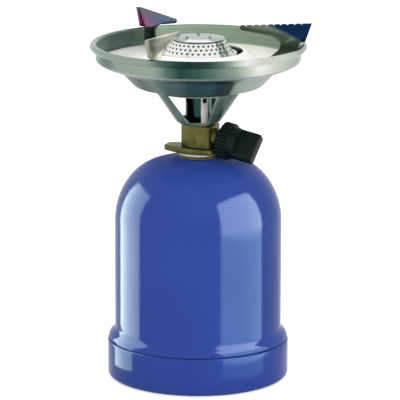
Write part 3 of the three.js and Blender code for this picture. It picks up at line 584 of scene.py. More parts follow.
def enamel_finish(colour):
    """Gloss paint with a faint orange peel, rubbed at its edges and duller round the crown."""
    finish = Finish("blue enamel", colour, 0.12, IOR=1.2)
    tone = finish.ramp(finish.noise(26, 4), [(0.3, scaled(colour, 0.93)), (0.7, scaled(colour, 1.06))])
    chips = finish.spread(finish.noise(240, 4), 0.0, 0.5)
    worn = finish.times(finish.worn_edges(0.56, 0.64), chips)
    gloss = finish.spread(finish.noise(60, 5), 0.07, 0.17)
    dull = finish.times(finish.math("POWER", finish.along((0, 0, 1), *DULL_CROWN), 2), DULL_SHARE)
    finish.give(
        Base_Color=finish.mix(worn, tone, (*scaled(colour, 1.9), 1.0)),
        Roughness=finish.plus(gloss, dull), Specular_IOR_Level=finish.math("SUBTRACT", 0.5, dull),
    )
    finish.bump(finish.noise(900, 2), 0.05, 0.0001)
    return finish.material


def steel_finish(name, colour, low, high, rings=1800, marks=0.25, tones=None, waver=0.0, metallic=1.0):
    """Bright pressed steel with fine turning marks and a cloudy polish, or painted reflections as tones round
    the axis.
    """
    finish = Finish(name, colour, low, metallic)
    turning = finish.rings(rings, 3)
    cloud = finish.noise(40, 5)
    tone = finish.ramp(cloud, [(0.25, scaled(colour, 0.86)), (0.5, colour), (0.8, scaled(colour, 1.1))])
    if tones:
        shade = finish.ramp(cloud, [(0.3, (0.9, 0.9, 0.9)), (0.6, (1.0, 1.0, 1.0))])
        tone = finish.mix(1.0, finish.round_tones(tones, waver), shade, "MULTIPLY")
    line = finish.ramp(turning, [(0.35, (0.86, 0.87, 0.86)), (0.65, (1.0, 1.0, 1.0))])
    rough = finish.plus(finish.times(cloud, 0.5), finish.times(turning, 0.5))
    finish.give(
        Base_Color=finish.mix(1.0, tone, line, "MULTIPLY"), Roughness=finish.spread(rough, low, high),
    )
    finish.bump(turning, marks, 0.00006)
    return finish.material


def tube_finish(name, tones, band):
    """Dark steel with a painted highlight: a pale band between two angles round the axis, where it mirrors
    less.
    """
    finish = Finish(name, TEAL, 0.16, 1.0)
    first, last = band
    shares = ((-180, 1), (first - 3, 1), (first, 0), (last, 0), (last + 3, 1), (180, 1))
    marks = finish.rings(900, 3)
    finish.give(
        Base_Color=finish.round_tones(tones), Roughness=finish.spread(marks, 0.12, 0.24),
        Metallic=finish.round_tones([(degrees, (share,) * 3) for degrees, share in shares]),
    )
    finish.bump(marks, 0.1, 0.00006)
    return finish.material


def brass_finish(colour):
    """Dull olive brass, stained unevenly."""
    finish = Finish("olive brass", colour, 0.4, 0.85)
    stain = finish.noise(120, 6, 0.6)
    tone = finish.ramp(stain, [(0.3, scaled(colour, 0.55)), (0.52, colour), (0.75, scaled(colour, 1.35))])
    finish.give(Base_Color=tone, Roughness=finish.spread(stain, 0.5, 0.3))
    finish.bump(finish.noise(700, 4), 0.25, 0.0001)
    return finish.material


def plastic_finish(colour):
    """Moulded plastic, nearly black, with a fine grain."""
    finish = Finish("black plastic", colour, 0.42, Specular_IOR_Level=0.16)
    grain = finish.noise(1500, 3)
    tone = finish.ramp(finish.noise(150, 4), [(0.3, scaled(colour, 0.75)), (0.7, scaled(colour, 1.3))])
    finish.give(Base_Color=tone, Roughness=finish.spread(grain, 0.36, 0.52))
    finish.bump(grain, 0.2, 0.00008)
    return finish.material


def dull_finish(name, colour, roughness):
    """Plain unpolished surface for rubber and nylon, with a faint mottle."""
    finish = Finish(name, colour, roughness)
    mottle = finish.noise(400, 4)
    tone = finish.ramp(mottle, [(0.3, scaled(colour, 0.8)), (0.7, scaled(colour, 1.1))])
    finish.give(Base_Color=tone, Roughness=finish.spread(mottle, roughness - 0.08, roughness + 0.08))
    finish.bump(mottle, 0.15, 0.0001)
    return finish.material


def zinc_finish(colour):
    """Zinc plate with a faint spangle."""
    finish = Finish("zinc plate", colour, 0.38, 0.9)
    spangle = finish.add("ShaderNodeTexVoronoi", {"Vector": finish.place, "Scale": 600.0}).outputs["Color"]
    tone = finish.mix(0.12, (*colour, 1.0), spangle)
    finish.give(Base_Color=tone, Roughness=finish.spread(finish.noise(200, 5), 0.3, 0.5))
    finish.bump(finish.noise(900, 3), 0.15, 0.0001)
    return finish.material


def tinplate_finish(colour):
    """White lacquer on tinplate, bare of words, with rubbed seams."""
    finish = Finish("white lacquer", colour, 0.35, Coat_Weight=0.3, Coat_Roughness=0.15)
    tone = finish.ramp(finish.noise(50, 4), [(0.3, scaled(colour, 0.94)), (0.7, colour)])
    seams = finish.mix(finish.worn_edges(), tone, (0.5, 0.5, 0.5, 1.0))
    finish.give(Base_Color=seams, Roughness=finish.spread(finish.noise(90, 4), 0.28, 0.42))
    finish.bump(finish.noise(500, 2), 0.08, 0.0001)
    return finish.material


def tempered_finish(name, stops, direction, start, end, second=None):
    """Polished steel with heat colours, painted shade and painted reflections in ramps that run across the
    piece, in one or two directions.
    """
    finish = Finish(name, (0.4, 0.42, 0.45), 0.2, 1.0)
    wave = finish.times(finish.math("SUBTRACT", finish.noise(70, 3), 0.5), 0.16)
    tone = finish.ramp(finish.plus(finish.along(direction, start, end), wave), stops)
    if second:
        other, across, first_level, last_level = second
        factor = finish.plus(finish.along(across, first_level, last_level), wave)
        tone = finish.mix(factor, tone, finish.ramp(finish.along(direction, start, end), other))
    brushed = finish.noise(500, 3, stretch=(1, 1, 12))
    finish.give(Base_Color=tone, Roughness=finish.spread(brushed, 0.14, 0.3))
    finish.bump(brushed, 0.1, 0.00005)
    return finish.material


# Sizes and colours that a user would change


def size_property(name, description, default, precision=4):
    """A length setting of the stove, in metres."""
    return FloatProperty(
        name=name, description=description, default=default, unit="LENGTH", subtype="DISTANCE",
        precision=precision,
    )


def count_property(name, description, default, least):
    """A count of the stove."""
    return IntProperty(name=name, description=description, default=default, min=least)


def colour_property(name, description, default):
    """A colour setting of the stove."""
    return FloatVectorProperty(
        name=name, description=description, default=default, subtype="COLOR", size=3, min=0.0, max=1.0,
    )


class StoveSizes(bpy.types.PropertyGroup):
    """Sizes of the dressed surface, in metres, and its counts."""

    bell_radius: size_property("Bell radius", "Outer radius of the bell's straight wall", 0.0488)
    flare_radius: size_property("Flare radius", "Outer radius of the bell's rim", 0.0524)
    base_radius: size_property("Base radius", "Outer radius of the base", 0.0531)
    sheet_wall: size_property("Sheet thickness", "Thickness of the bell's painted sheet", 0.0008)
    pan_radius: size_property("Pan radius", "Outer radius of the pan's upright wall", 0.0596)
    lip_radius: size_property("Lip radius", "Outer radius of the rolled lip's section", 0.002)
    port_radius: size_property("Port radius", "Radius of a flame port in the burner drum", 0.00072, 5)
    ports_in_row: count_property("Ports in a row", "Flame ports in one row of the drum", 36, 3)
    port_rows: count_property("Rows of ports", "Rows of flame ports in the drum", 3, 1)
    blade_thickness: size_property("Blade thickness", "Thickness of a pot blade", 0.0012)
    knob_radius: size_property("Knob radius", "Radius over the knob's flutes", 0.0109)
    knob_flutes: count_property("Knob flutes", "Grip ribs round the knob's rim", 24, 3)


class StoveColours(bpy.types.PropertyGroup):
    """Base colours of the finishes, in linear light."""

    enamel: colour_property("Enamel", "Paint of the bell and the base", (0.026, 0.061, 0.305))
    steel: colour_property("Bright steel", "Pan, tray and burner", (0.6, 0.63, 0.6))
    dark_steel: colour_property("Dark steel", "Bracket and mixing tube", (0.05, 0.1, 0.09))
    brass: colour_property("Brass", "Valve body and hand flange", (0.135, 0.135, 0.036))
    zinc: colour_property("Zinc", "Collar, bushing and rivets", (0.62, 0.62, 0.58))
    plastic: colour_property("Plastic", "Control knob", (0.003, 0.01, 0.008))
    rubber: colour_property("Rubber", "Seals", (0.02, 0.02, 0.02))
    nylon: colour_property("Nylon", "Washer under the hand flange", (0.75, 0.73, 0.66))
    lacquer: colour_property("Lacquer", "Gas cartridge", (0.68, 0.7, 0.72))


def sizes():
    """The stove's size settings."""
    return bpy.context.scene.stove_sizes


FINISHES = {}

# Painted reflections: tones that polished steel takes in a white room, from its dark reflections to its
# bright ones, painted into its colour
INK = (0.012, 0.04, 0.033)
SLATE = (0.025, 0.065, 0.06)
TEAL = (0.045, 0.115, 0.09)
MOSS = (0.12, 0.2, 0.165)
SAGE = (0.32, 0.41, 0.34)
PEARL = (0.7, 0.75, 0.66)
CHALK = (0.96, 0.97, 0.92)
# The same round the axis, by degrees to the right of the front: painted reflections, and painted highlights
# where they turn palest
UNDERSIDE_TONES = [
    (-180, MOSS), (-66, TEAL), (-50, INK), (-37, MOSS), (-27, TEAL), (-16, MOSS), (-7, TEAL), (9, TEAL),
    (17, INK), (27, INK), (30, SAGE), (75, SAGE), (180, MOSS),
]
LIP_TONES = [
    (-180, MOSS), (-50, SAGE), (-28, SAGE), (-21, MOSS), (-12, SLATE), (-5, INK), (5, SLATE), (12, MOSS),
    (17, SAGE), (22, PEARL), (27, CHALK), (36, PEARL), (52, PEARL), (70, SAGE), (180, MOSS),
]
WALL_TONES = [
    (-180, MOSS), (-62, MOSS), (-50, SAGE), (-25, SAGE), (-18, MOSS), (-10, SLATE), (1, TEAL),
    (9, MOSS), (22, SAGE), (30, PEARL), (36, CHALK), (47, PEARL), (70, SAGE), (180, MOSS),
]
INSIDE_TONES = [
    (-180, (0.28, 0.39, 0.28)), (-158, (0.38, 0.52, 0.38)), (-138, MOSS), (-118, MOSS), (-95, SAGE),
    (100, SAGE), (150, (0.26, 0.36, 0.26)), (180, (0.28, 0.39, 0.28)),
]
DRUM_TONES = [
    (-180, PEARL), (-20, CHALK), (36, CHALK), (43, MOSS), (50, PEARL), (56, MOSS), (62, PEARL), (180, PEARL),
]
BRACKET_TONES = [
    (-180, MOSS), (-75, SAGE), (-64, TEAL), (-50, SLATE), (-40, MOSS), (10, SAGE), (24, SAGE), (30, MOSS),
    (40, MOSS), (48, SLATE), (62, TEAL), (80, MOSS), (180, MOSS),
]
CAP_TONES = [(-180, SAGE), (-38, SAGE), (-30, CHALK), (28, CHALK), (38, SAGE), (180, SAGE)]
# Painted highlight of the mixing tube: the pale band between these angles round the axis
TUBE_BAND = (14, 49)
TUBE_TONES = [
    (-180, INK), (-18, INK), (-14, SLATE), (11, SLATE), (14, CHALK), (49, CHALK), (52, TEAL), (180, INK),
]


NAVY = (0.007, 0.026, 0.085)
OLIVE = (0.17, 0.22, 0.17)

# Stops, direction, start, end and further values of tempered_finish, by the blades' order
# The dark low stops are painted shade below the pan's lip; the straw blade's light and dark bands are painted
# reflections.
BLADE_LOOKS = {
    "tempered navy": (
        [(0.0, (0.04, 0.055, 0.028)), (0.45, (0.06, 0.09, 0.05)), (0.72, OLIVE), (0.76, (0.12, 0.17, 0.16)),
         (0.83, NAVY), (1.0, (0.006, 0.024, 0.075))],
        (0.431, 0.0, 0.902), 0.188, 0.210, None,
    ),
    "tempered magenta": (
        [(0.0, (0.03, 0.05, 0.038)), (0.5, (0.035, 0.055, 0.045)), (0.56, (0.33, 0.06, 0.17)),
         (0.75, (0.2, 0.085, 0.18)), (1.0, (0.12, 0.14, 0.16))],
        (0.0, 0.0, 1.0), 0.188, 0.2096,
        ([(0.0, (0.03, 0.05, 0.038)), (0.5, (0.035, 0.055, 0.045)), (0.56, (0.02, 0.1, 0.26)),
          (0.75, (0.035, 0.12, 0.22)), (1.0, (0.14, 0.17, 0.2))], (1.0, 0.0, 0.0), -0.032, -0.02),
    ),
    "tempered straw": (
        [(0.0, (0.42, 0.46, 0.35)), (0.25, (0.26, 0.28, 0.2)), (0.45, (0.8, 0.81, 0.66)),
         (0.65, (0.92, 0.9, 0.75)), (1.0, (0.36, 0.38, 0.36))],
        (1.0, 0.0, 0.0), -0.031, -0.011, None,
    ),
}

# Name in Blender, colour setting or colour, roughness from and to, and further values of steel_finish
STEELS = {
    "steel": ("bright steel", "steel", 0.14, 0.3),
    # Tray steel: a near-white colour that barely mirrors, a painted reflection of the light above
    "tray_steel": ("tray steel", (0.98, 0.96, 0.91), 0.25, 0.4, 1200, 0.3, None, 0.0, 0.25),
    "drum_steel": ("drum steel", (0.86, 0.82, 0.8), 0.2, 0.34, 1200, 0.2, DRUM_TONES),
    "cap_steel": ("cap steel", (0.34, 0.43, 0.39), 0.16, 0.3, 1200, 0.2),
    "cap_slope": ("cap slope", TEAL, 0.16, 0.3, 1200, 0.2, CAP_TONES),
    "pan_underside": ("pan underside", TEAL, 0.25, 0.4, 900, 0.12, UNDERSIDE_TONES, 0.012, 0.5),
    "pan_lip": ("pan lip", TEAL, 0.12, 0.24, 1600, 0.2, LIP_TONES, 0.02),
    "pan_wall": ("pan wall", TEAL, 0.12, 0.24, 1600, 0.2, WALL_TONES, 0.02),
    # The pan line is a painted highlight along the crease under the pan's wall
    "pan_line": ("pan line", SAGE, 0.25, 0.4, 1800, 0.25, None, 0.0, 0.3),
    "pan_inside": ("pan inside", TEAL, 0.25, 0.4, 1600, 0.2, INSIDE_TONES, 0.03, 0.5),
    "dark_steel": ("dark steel", "dark_steel", 0.12, 0.26, 900, 0.15),
    "bracket_steel": ("bracket steel", TEAL, 0.2, 0.35, 5000, 0.03, BRACKET_TONES, 0.02, 0.45),
}


def new_finish(name):
    """Makes the named material from the colour settings."""
    colours = bpy.context.scene.stove_colours
    if name in STEELS:
        title, colour, *values = STEELS[name]
        if isinstance(colour, str):
            colour = getattr(colours, colour)[:]
        return steel_finish(title, colour, *values)
    if name in BLADE_LOOKS:
        return tempered_finish(name, *BLADE_LOOKS[name])
    if name == "tube_steel":
        return tube_finish("tube steel", TUBE_TONES, TUBE_BAND)
    makers = {
        "enamel": enamel_finish, "brass": brass_finish, "zinc": zinc_finish, "plastic": plastic_finish,
        "rubber": lambda colour: dull_finish("seal rubber", colour, 0.75),
        "nylon": lambda colour: dull_finish("white nylon", colour, 0.5),
        "lacquer": tinplate_finish,
    }
    return makers[name](getattr(colours, name)[:])


def finish_of(name):
    """The named material, made on first use."""
    if name not in FINISHES:
        FINISHES[name] = new_finish(name)
    return FINISHES[name]


# Stage

CAMERA_DISTANCE = 1.929
CAMERA_ELEVATION = math.radians(13)
CAMERA_ROLL = math.radians(0.1)
CAMERA_TARGET = Vector((0, 0, 0.1045))
CAMERA_SHIFT = 0.0046
CAMERA_LENS = 297.0
SENSOR_WIDTH = 36.0
PAPER_GLOW = 0.6
WORLD_LEVEL = 0.6
FLOOR_RADIUS = 3.0
FLOOR_TOP = -0.0005
FLOOR_BOTTOM = -0.004

# Soft boxes: name, place, level
SOFTBOX_SIZE = 0.7
SOFTBOX_AIM = (0, 0, 0.1)
SOFTBOXES = (
    ("softbox_front", (0.15, -1.25, 0.7), 5.0),
    ("softbox_top", (0.0, 0.25, 0.9), 2.6),
)
# Strip lamps beside the paint: name, place and aim in plan, width, lower and upper end, level, colour
RIGHT_STRIP = ((0.1007, -0.0752), (-0.027, 0.004), 0.134)
BASE_STRIP = (0.0008, 0.0165)
STRIPS = (
    ("strip_left", (-0.15, 0.024), (0, 0.024), 0.124, (0.001, 0.196), 14.0, (0.8, 1.0, 0.97)),
    ("strip_right_low", *RIGHT_STRIP, (0.001, 0.072), 14.0, (0.5, 0.82, 0.95)),
    ("strip_right_middle", *RIGHT_STRIP, (0.072, 0.082), 20.0, (0.64, 0.9, 0.98)),
    ("strip_right_high", *RIGHT_STRIP, (0.082, 0.196), 26.0, (0.72, 0.95, 1.0)),
    ("base_strip_left", (-0.075, -0.0165), (0, -0.0165), 0.037, BASE_STRIP, 10.0, (0.75, 1.0, 0.95)),
    ("base_strip_right", (0.0526, -0.059), (0.0157, -0.0252), 0.06, BASE_STRIP, 4.0, (0.45, 0.9, 1.0)),
)
# Soft lamp below the pan for the bell's crown: place, aim, width, depth, level
CROWN_FILL = ((0.0, -0.045, 0.168), (0.0, -0.015, 0.12), 0.1, 0.05, 0.75)


def paper_finish():
    """White studio paper that keeps shadows, and that mirrors and glass see as plain white."""
    finish = Finish("studio paper", (0.86, 0.86, 0.86), 0.9)
    finish.give(Base_Color=finish.ramp(finish.noise(8, 3), [(0.3, (0.85,) * 3), (0.7, (0.88,) * 3)]))
    level = finish.spread(finish.seen("Is Camera Ray"), 0.0, PAPER_GLOW)
    glow = finish.add("ShaderNodeEmission", {"Strength": level})
    both = finish.add("ShaderNodeAddShader", {0: finish.shader.outputs[0], 1: glow.outputs[0]})
    white = finish.add("ShaderNodeEmission")
    mirrored = finish.seen("Is Glossy Ray", "Is Transmission Ray")
    switch = finish.add("ShaderNodeMixShader", {0: mirrored, 1: both.outputs[0], 2: white.outputs[0]})
    finish.fill(finish.output, {"Surface": switch.outputs[0]})
    return finish.material


def area_light(name, place, target, width, height, level, colour=(1, 1, 1)):
    """A rectangular lamp of a given brightness, which doesn't show to the camera."""
    data = bpy.data.lights.new(name, "AREA")
    data.shape = "RECTANGLE"
    data.size = width
    data.size_y = height
    data.energy = level * math.pi * width * height
    data.color = colour
    obj = new_object(name, data)
    obj.location = place
    obj.rotation_euler = (Vector(target) - Vector(place)).to_track_quat("-Z", "Y").to_euler()
    obj.visible_camera = False
    return obj


def painted_pieces():
    """Collection of the painted pieces, the only ones that the strips and the crown's lamp light."""
    name = "painted pieces"
    return bpy.data.collections.get(name) or bpy.data.collections.new(name)


class STOVE_OT_stage(bpy.types.Operator):
    """Add the floor, the studio light and the camera"""

    bl_idname = "stove.stage"
    bl_label = "Stage"

    def execute(self, context):
        scene = context.scene
        scene.view_settings.view_transform = "Standard"

        world = bpy.data.worlds.new("studio")
        world.use_nodes = True
        sky = Nodes(world.node_tree)
        share = sky.seen("Is Camera Ray", "Is Glossy Ray", "Is Transmission Ray")
        level = sky.spread(share, WORLD_LEVEL, 1.0)
        sky.fill(sky.tree.nodes["Background"], {"Color": (1, 1, 1, 1), "Strength": level})
        scene.world = world

        floor = rod("studio_floor", FLOOR_RADIUS, FLOOR_BOTTOM, FLOOR_TOP, PIPE_SEGMENTS)
        floor.data.materials.append(paper_finish())

        for name, place, level in SOFTBOXES:
            softbox = area_light(name, place, SOFTBOX_AIM, SOFTBOX_SIZE, SOFTBOX_SIZE, level)
            softbox.visible_glossy = False
        for name, (x, y), (to_x, to_y), width, (low, high), level, colour in STRIPS:
            middle = (low + high) / 2
            strip = area_light(name, (x, y, middle), (to_x, to_y, middle), width, high - low, level, colour)
            strip.visible_diffuse = False
            strip.light_linking.receiver_collection = painted_pieces()
        fill = area_light("crown_fill", *CROWN_FILL)
        fill.visible_glossy = False
        fill.light_linking.receiver_collection = painted_pieces()

        data = bpy.data.cameras.new("view")
        data.lens = CAMERA_LENS
        data.sensor_width = SENSOR_WIDTH
        data.shift_x = CAMERA_SHIFT
        data.clip_start = 0.1
        data.clip_end = 20.0
        camera = new_object("view", data)
        back = Vector((0, -math.cos(CAMERA_ELEVATION), math.sin(CAMERA_ELEVATION)))
        turn = Matrix.Rotation(math.pi / 2 - CAMERA_ELEVATION, 4, "X") @ Matrix.Rotation(CAMERA_ROLL, 4, "Z")
        camera.matrix_world = Matrix.Translation(CAMERA_TARGET + back * CAMERA_DISTANCE) @ turn
        scene.camera = camera
        return {"FINISHED"}


# Base and bell

FOOT_RADIUS = 0.0028
FOOT_WIDTH = 0.003
BASE_EDGE = 0.001
BASE_WALL = 0.0009
DISH_RADIUS = 0.038
DISH_DEPTH = 0.003
DISH_SLOPE = 0.0025
VENT_RADIUS = 0.012


class STOVE_OT_base(bpy.types.Operator):
    """Add the pressed base"""

    bl_idname = "stove.base"
    bl_label = "Base"

    def execute(self, context):
        radius = sizes().base_radius
        top = top_of("base_cup")
        dish = [
            (radius - BASE_EDGE, top), (DISH_RADIUS, top), (DISH_RADIUS - DISH_SLOPE, top - DISH_DEPTH),
            (VENT_RADIUS, top - DISH_DEPTH),
        ]
        path = [(radius - FOOT_RADIUS - FOOT_WIDTH, 0.0)]
        path += arc((radius - FOOT_RADIUS, FOOT_RADIUS), (FOOT_RADIUS,) * 2, -90, 0, 12)
        path += arc((radius - BASE_EDGE, top - BASE_EDGE), (BASE_EDGE,) * 2, 0, 90, 8)[:-1]
        path += rounded(dish, BASE_EDGE)
        base = turned("base_shell", sheet(path, BASE_WALL))
        finished(shaded(base), "base", "enamel", "blue_enamel", "base_cup")
        painted_pieces().objects.link(base)
        return {"FINISHED"}


FLARE_HEIGHT = 0.0074
FLARE_EDGE = 0.0012
SHOULDER_WIDTH = 0.030
SHOULDER_HEIGHT = 0.036
CROWN_RISE = 0.0014
CROWN_RADIUS = 0.0132
CROWN_SLOPE_WIDTH = 0.002
BELL_EDGE = 0.0004
NECK_HOLE = 0.0105


class STOVE_OT_bell(bpy.types.Operator):
    """Add the bell with its flared rim and rounded shoulder"""

    bl_idname = "stove.bell"
    bl_label = "Bell"

    def execute(self, context):
        radius, flare = sizes().bell_radius, sizes().flare_radius
        low, top = levels("bell_housing")
        shoulder_top = top - CROWN_RISE
        path = arc((flare - BELL_EDGE, low + BELL_EDGE), (BELL_EDGE,) * 2, -90, 0, 4)
        path += eased((flare, low + FLARE_EDGE), (radius, low + FLARE_HEIGHT), 14)
        path += arc(
            (radius - SHOULDER_WIDTH, shoulder_top - SHOULDER_HEIGHT),
            (SHOULDER_WIDTH, SHOULDER_HEIGHT), 0, 88, 40,
        )
        path += [
            (CROWN_RADIUS + CROWN_SLOPE_WIDTH, shoulder_top + BELL_EDGE),
            (CROWN_RADIUS, top), (NECK_HOLE, top),
        ]
        bell = turned("bell_shell", sheet(path, sizes().sheet_wall))
        finished(shaded(bell), "bell", "enamel", "blue_enamel", "bell_housing")
        painted_pieces().objects.link(bell)
        return {"FINISHED"}


BUSHING_BORE = 0.0075
BUSHING_SLEEVE = 0.0102
BUSHING_FLANGE = 0.0121
BUSHING_FLANGE_HEIGHT = 0.0015
BUSHING_EDGE = 0.0003
WASHER_RADIUS = 0.0116
WASHER_EDGE = 0.00025


class STOVE_OT_neck(bpy.types.Operator):
    """Add the bushing in the bell's crown and the washer on it"""

    bl_idname = "stove.neck"
    bl_label = "Neck"

    def execute(self, context):
        low, top = levels("neck_bushing")
        shoulder = top - BUSHING_FLANGE_HEIGHT
        outline = rounded([
            (BUSHING_BORE, low), (BUSHING_SLEEVE, low), (BUSHING_SLEEVE, shoulder),
            (BUSHING_FLANGE, shoulder), (BUSHING_FLANGE, top), (BUSHING_BORE, top),
        ], BUSHING_EDGE, 3, closed=True)
        bushing = turned("bushing_turned", outline, SMALL_SEGMENTS)
        finished(shaded(bushing), "bell", "brass", "brass", "neck_bushing")

        low, top = levels("sealing_washer")
        washer = pipe("washer_ring", BUSHING_BORE, WASHER_RADIUS, low, top, WASHER_EDGE, 3, SMALL_SEGMENTS)
        finished(shaded(washer), "washer", "nylon", "white_nylon", "sealing_washer")
        return {"FINISHED"}


# Valve and knob

SPINDLE_YAW = math.radians(-24)
SPINDLE_TILT = math.radians(11)
SPINDLE_LEVEL = 0.0079
# Valve body seen from above, with the spindle's side at +X
VALVE_OUTLINE = [
    (-0.0095, -0.004), (-0.002, -0.008), (0.0105, -0.008), (0.0105, 0.008), (-0.002, 0.008), (-0.0095, 0.004),
]
VALVE_CORNER = 0.0016
VALVE_BEVEL = 0.0007
BOSS_RADIUS = 0.0055
BOSS_END = 0.013
BOSS_START = 0.004
FLANGE_TAIL = 0.0205
FLANGE_NOSE = 0.0125
FLANGE_HALF_WIDTH = 0.0096
FLANGE_CORNER = 0.003
FLANGE_BEVEL = 0.0008
STEM_RADIUS = 0.0072


def spindle_matrix(roll=0.0):
    """Places a piece made along +Z on the sloping spindle line."""
    level = bottom_of("valve_body") + SPINDLE_LEVEL
    turn = Matrix.Rotation(SPINDLE_YAW, 4, "Z") @ Matrix.Rotation(math.pi / 2 + SPINDLE_TILT, 4, "Y")
    return Matrix.Translation((0, 0, level)) @ turn @ Matrix.Rotation(roll, 4, "Z")


class STOVE_OT_valve(bpy.types.Operator):
    """Add the brass valve body and the hand flange under it"""

    bl_idname = "stove.valve"
    bl_label = "Valve"

    def execute(self, context):
        yaw = Matrix.Rotation(SPINDLE_YAW, 4, "Z")
        low, top = levels("valve_body")
        outline = rounded(VALVE_OUTLINE, VALVE_CORNER, 4, closed=True)
        block = placed(prism("valve_forging", outline, low, top), yaw)
        boss = rod("valve_boss", BOSS_RADIUS, BOSS_START, BOSS_END, SMALL_SEGMENTS)
        combined(block, placed(boss, spindle_matrix()), "UNION")
        bevelled(block, VALVE_BEVEL, 3, CORNER_ANGLE)
        finished(shaded(block, WIDE_ANGLE), "burner_unit", "brass", "brass", "valve_body")

        low, top = levels("hand_flange")
        half = FLANGE_HALF_WIDTH
        outline = rounded([
            (-FLANGE_TAIL, -half / 2), (-FLANGE_TAIL / 2, -half), (FLANGE_NOSE, -half),
            (FLANGE_NOSE, half), (-FLANGE_TAIL / 2, half), (-FLANGE_TAIL, half / 2),
        ], FLANGE_CORNER, 8, closed=True)
        flange = placed(prism("hand_flange_plate", outline, low, top), yaw)
        hole = rod("flange_hole", STEM_RADIUS + CLEARANCE, low - OVERRUN, top + OVERRUN, SMALL_SEGMENTS)
        combined(flange, hole, "DIFFERENCE")
        bevelled(flange, FLANGE_BEVEL, 4, CORNER_ANGLE)
        finished(shaded(flange, WIDE_ANGLE), "burner_unit", "brass", "brass", "hand_flange")
        return {"FINISHED"}


KNOB_START = 0.0152
KNOB_RIM_LENGTH = 0.007
KNOB_EDGE = 0.0005
KNOB_RIB_DEPTH = 0.001
# Half width of a rib as a share of the ribs' pitch, and how far it sinks in and stops short of the rim
KNOB_RIB_SHARE = 0.32
KNOB_RIB_SINK = 0.0005
KNOB_RIB_MARGIN = 0.0004
KNOB_RIB_BEVEL = 0.00025
KNOB_COLLAR_RADIUS = 0.0099
KNOB_COLLAR_LENGTH = 0.004
KNOB_GRIP_LENGTH = 0.0115
KNOB_GRIP_HALF_SPAN = 0.0088
KNOB_GRIP_HALF_WIDTH = 0.0039
KNOB_GRIP_CORNER = 0.0024
KNOB_GRIP_BEVEL = 0.0006
KNOB_RECESS_RADIUS = 0.0064
KNOB_RECESS_DEPTH = 0.003
KNOB_ROLL = math.radians(-35)


class STOVE_OT_knob(bpy.types.Operator):
    """Add the control knob: ribbed rim, smooth collar and bar grip"""

    bl_idname = "stove.knob"
    bl_label = "Knob"

    def execute(self, context):
        radius = sizes().knob_radius - KNOB_RIB_DEPTH
        start = KNOB_START
        rim_end = start + KNOB_RIM_LENGTH
        collar_end = rim_end + KNOB_COLLAR_LENGTH
        grip_end = collar_end + KNOB_GRIP_LENGTH
        outline = [
            (0.0, start + KNOB_RECESS_DEPTH), (KNOB_RECESS_RADIUS, start + KNOB_RECESS_DEPTH),
            (KNOB_RECESS_RADIUS, start), (radius, start), (radius, rim_end),
            (KNOB_COLLAR_RADIUS, rim_end), (KNOB_COLLAR_RADIUS - KNOB_RIB_DEPTH, collar_end),
            (0.0, collar_end),
        ]
        body = turned("knob_moulding", rounded(outline, KNOB_EDGE, 4), DRUM_SEGMENTS)
        half_x, half_y = KNOB_GRIP_HALF_SPAN, KNOB_GRIP_HALF_WIDTH
        corners = [(-half_x, -half_y), (half_x, -half_y), (half_x, half_y), (-half_x, half_y)]
        grip = prism("knob_grip", rounded(corners, KNOB_GRIP_CORNER, 8, closed=True), rim_end, grip_end)
        bevelled(grip, KNOB_GRIP_BEVEL, 3, WIDE_ANGLE)
        combined(body, grip, "UNION")

        half = math.pi * 2 * radius / sizes().knob_flutes * KNOB_RIB_SHARE
        side = [
            (radius - KNOB_RIB_SINK, half * 1.25), (radius + KNOB_RIB_DEPTH * 0.7, half),
            (radius + KNOB_RIB_DEPTH, half * 0.4),
        ]
        section = [(x, -y) for x, y in side] + side[::-1]
        rib = prism("knob_rib", section, start + KNOB_RIB_MARGIN, rim_end - KNOB_RIB_MARGIN)
        bevelled(rib, KNOB_RIB_BEVEL, 2)
        round_axis(body, ring_copies_tree(), rib, sizes().knob_flutes, 0.0, finish_of("plastic"))
        placed(body, spindle_matrix(KNOB_ROLL))
        finished(shaded(body), "knob", "plastic", "black_plastic", "control_knob")
        return {"FINISHED"}


# Bracket, mixing tube, rivets

BRACKET_WALL = 0.0009
BRACKET_HOLE = 0.0046
BRACKET_PLATE = 0.0106
BRACKET_WAIST = 0.0131
BRACKET_WAIST_RISE = 0.0018
BRACKET_TOP = 0.0254
BRACKET_FLANGE = 0.0072
BRACKET_DROP = 0.0008
BRACKET_BEND = 0.0012
BRACKET_BEVEL = 0.0001
WINDOW_MARGIN = 0.0004
WINDOW_CORNER = 0.0009
# How far the pan's floor and the bracket's top sit above those of the frame
PAN_LIFT = 0.0018
ARM_COUNT = 3
ARM_HALF_WIDTH = 0.0088
ARM_SPREAD = math.radians(27)
FIRST_ARM = math.radians(-38)


def window_outline():
    """Outline of the window after the arm on +X: even with that arm's side, radial at the next arm."""
    step = 2 * math.pi / ARM_COUNT
    reach, far = BRACKET_TOP * 2, step - ARM_SPREAD
    return [
        (0.0, ARM_HALF_WIDTH), (BRACKET_TOP, ARM_HALF_WIDTH),
        (reach * math.cos(step / 2), reach * math.sin(step / 2)),
        (reach * math.cos(far), reach * math.sin(far)),
        (ARM_HALF_WIDTH * math.cos(far), ARM_HALF_WIDTH * math.sin(far)),
    ]


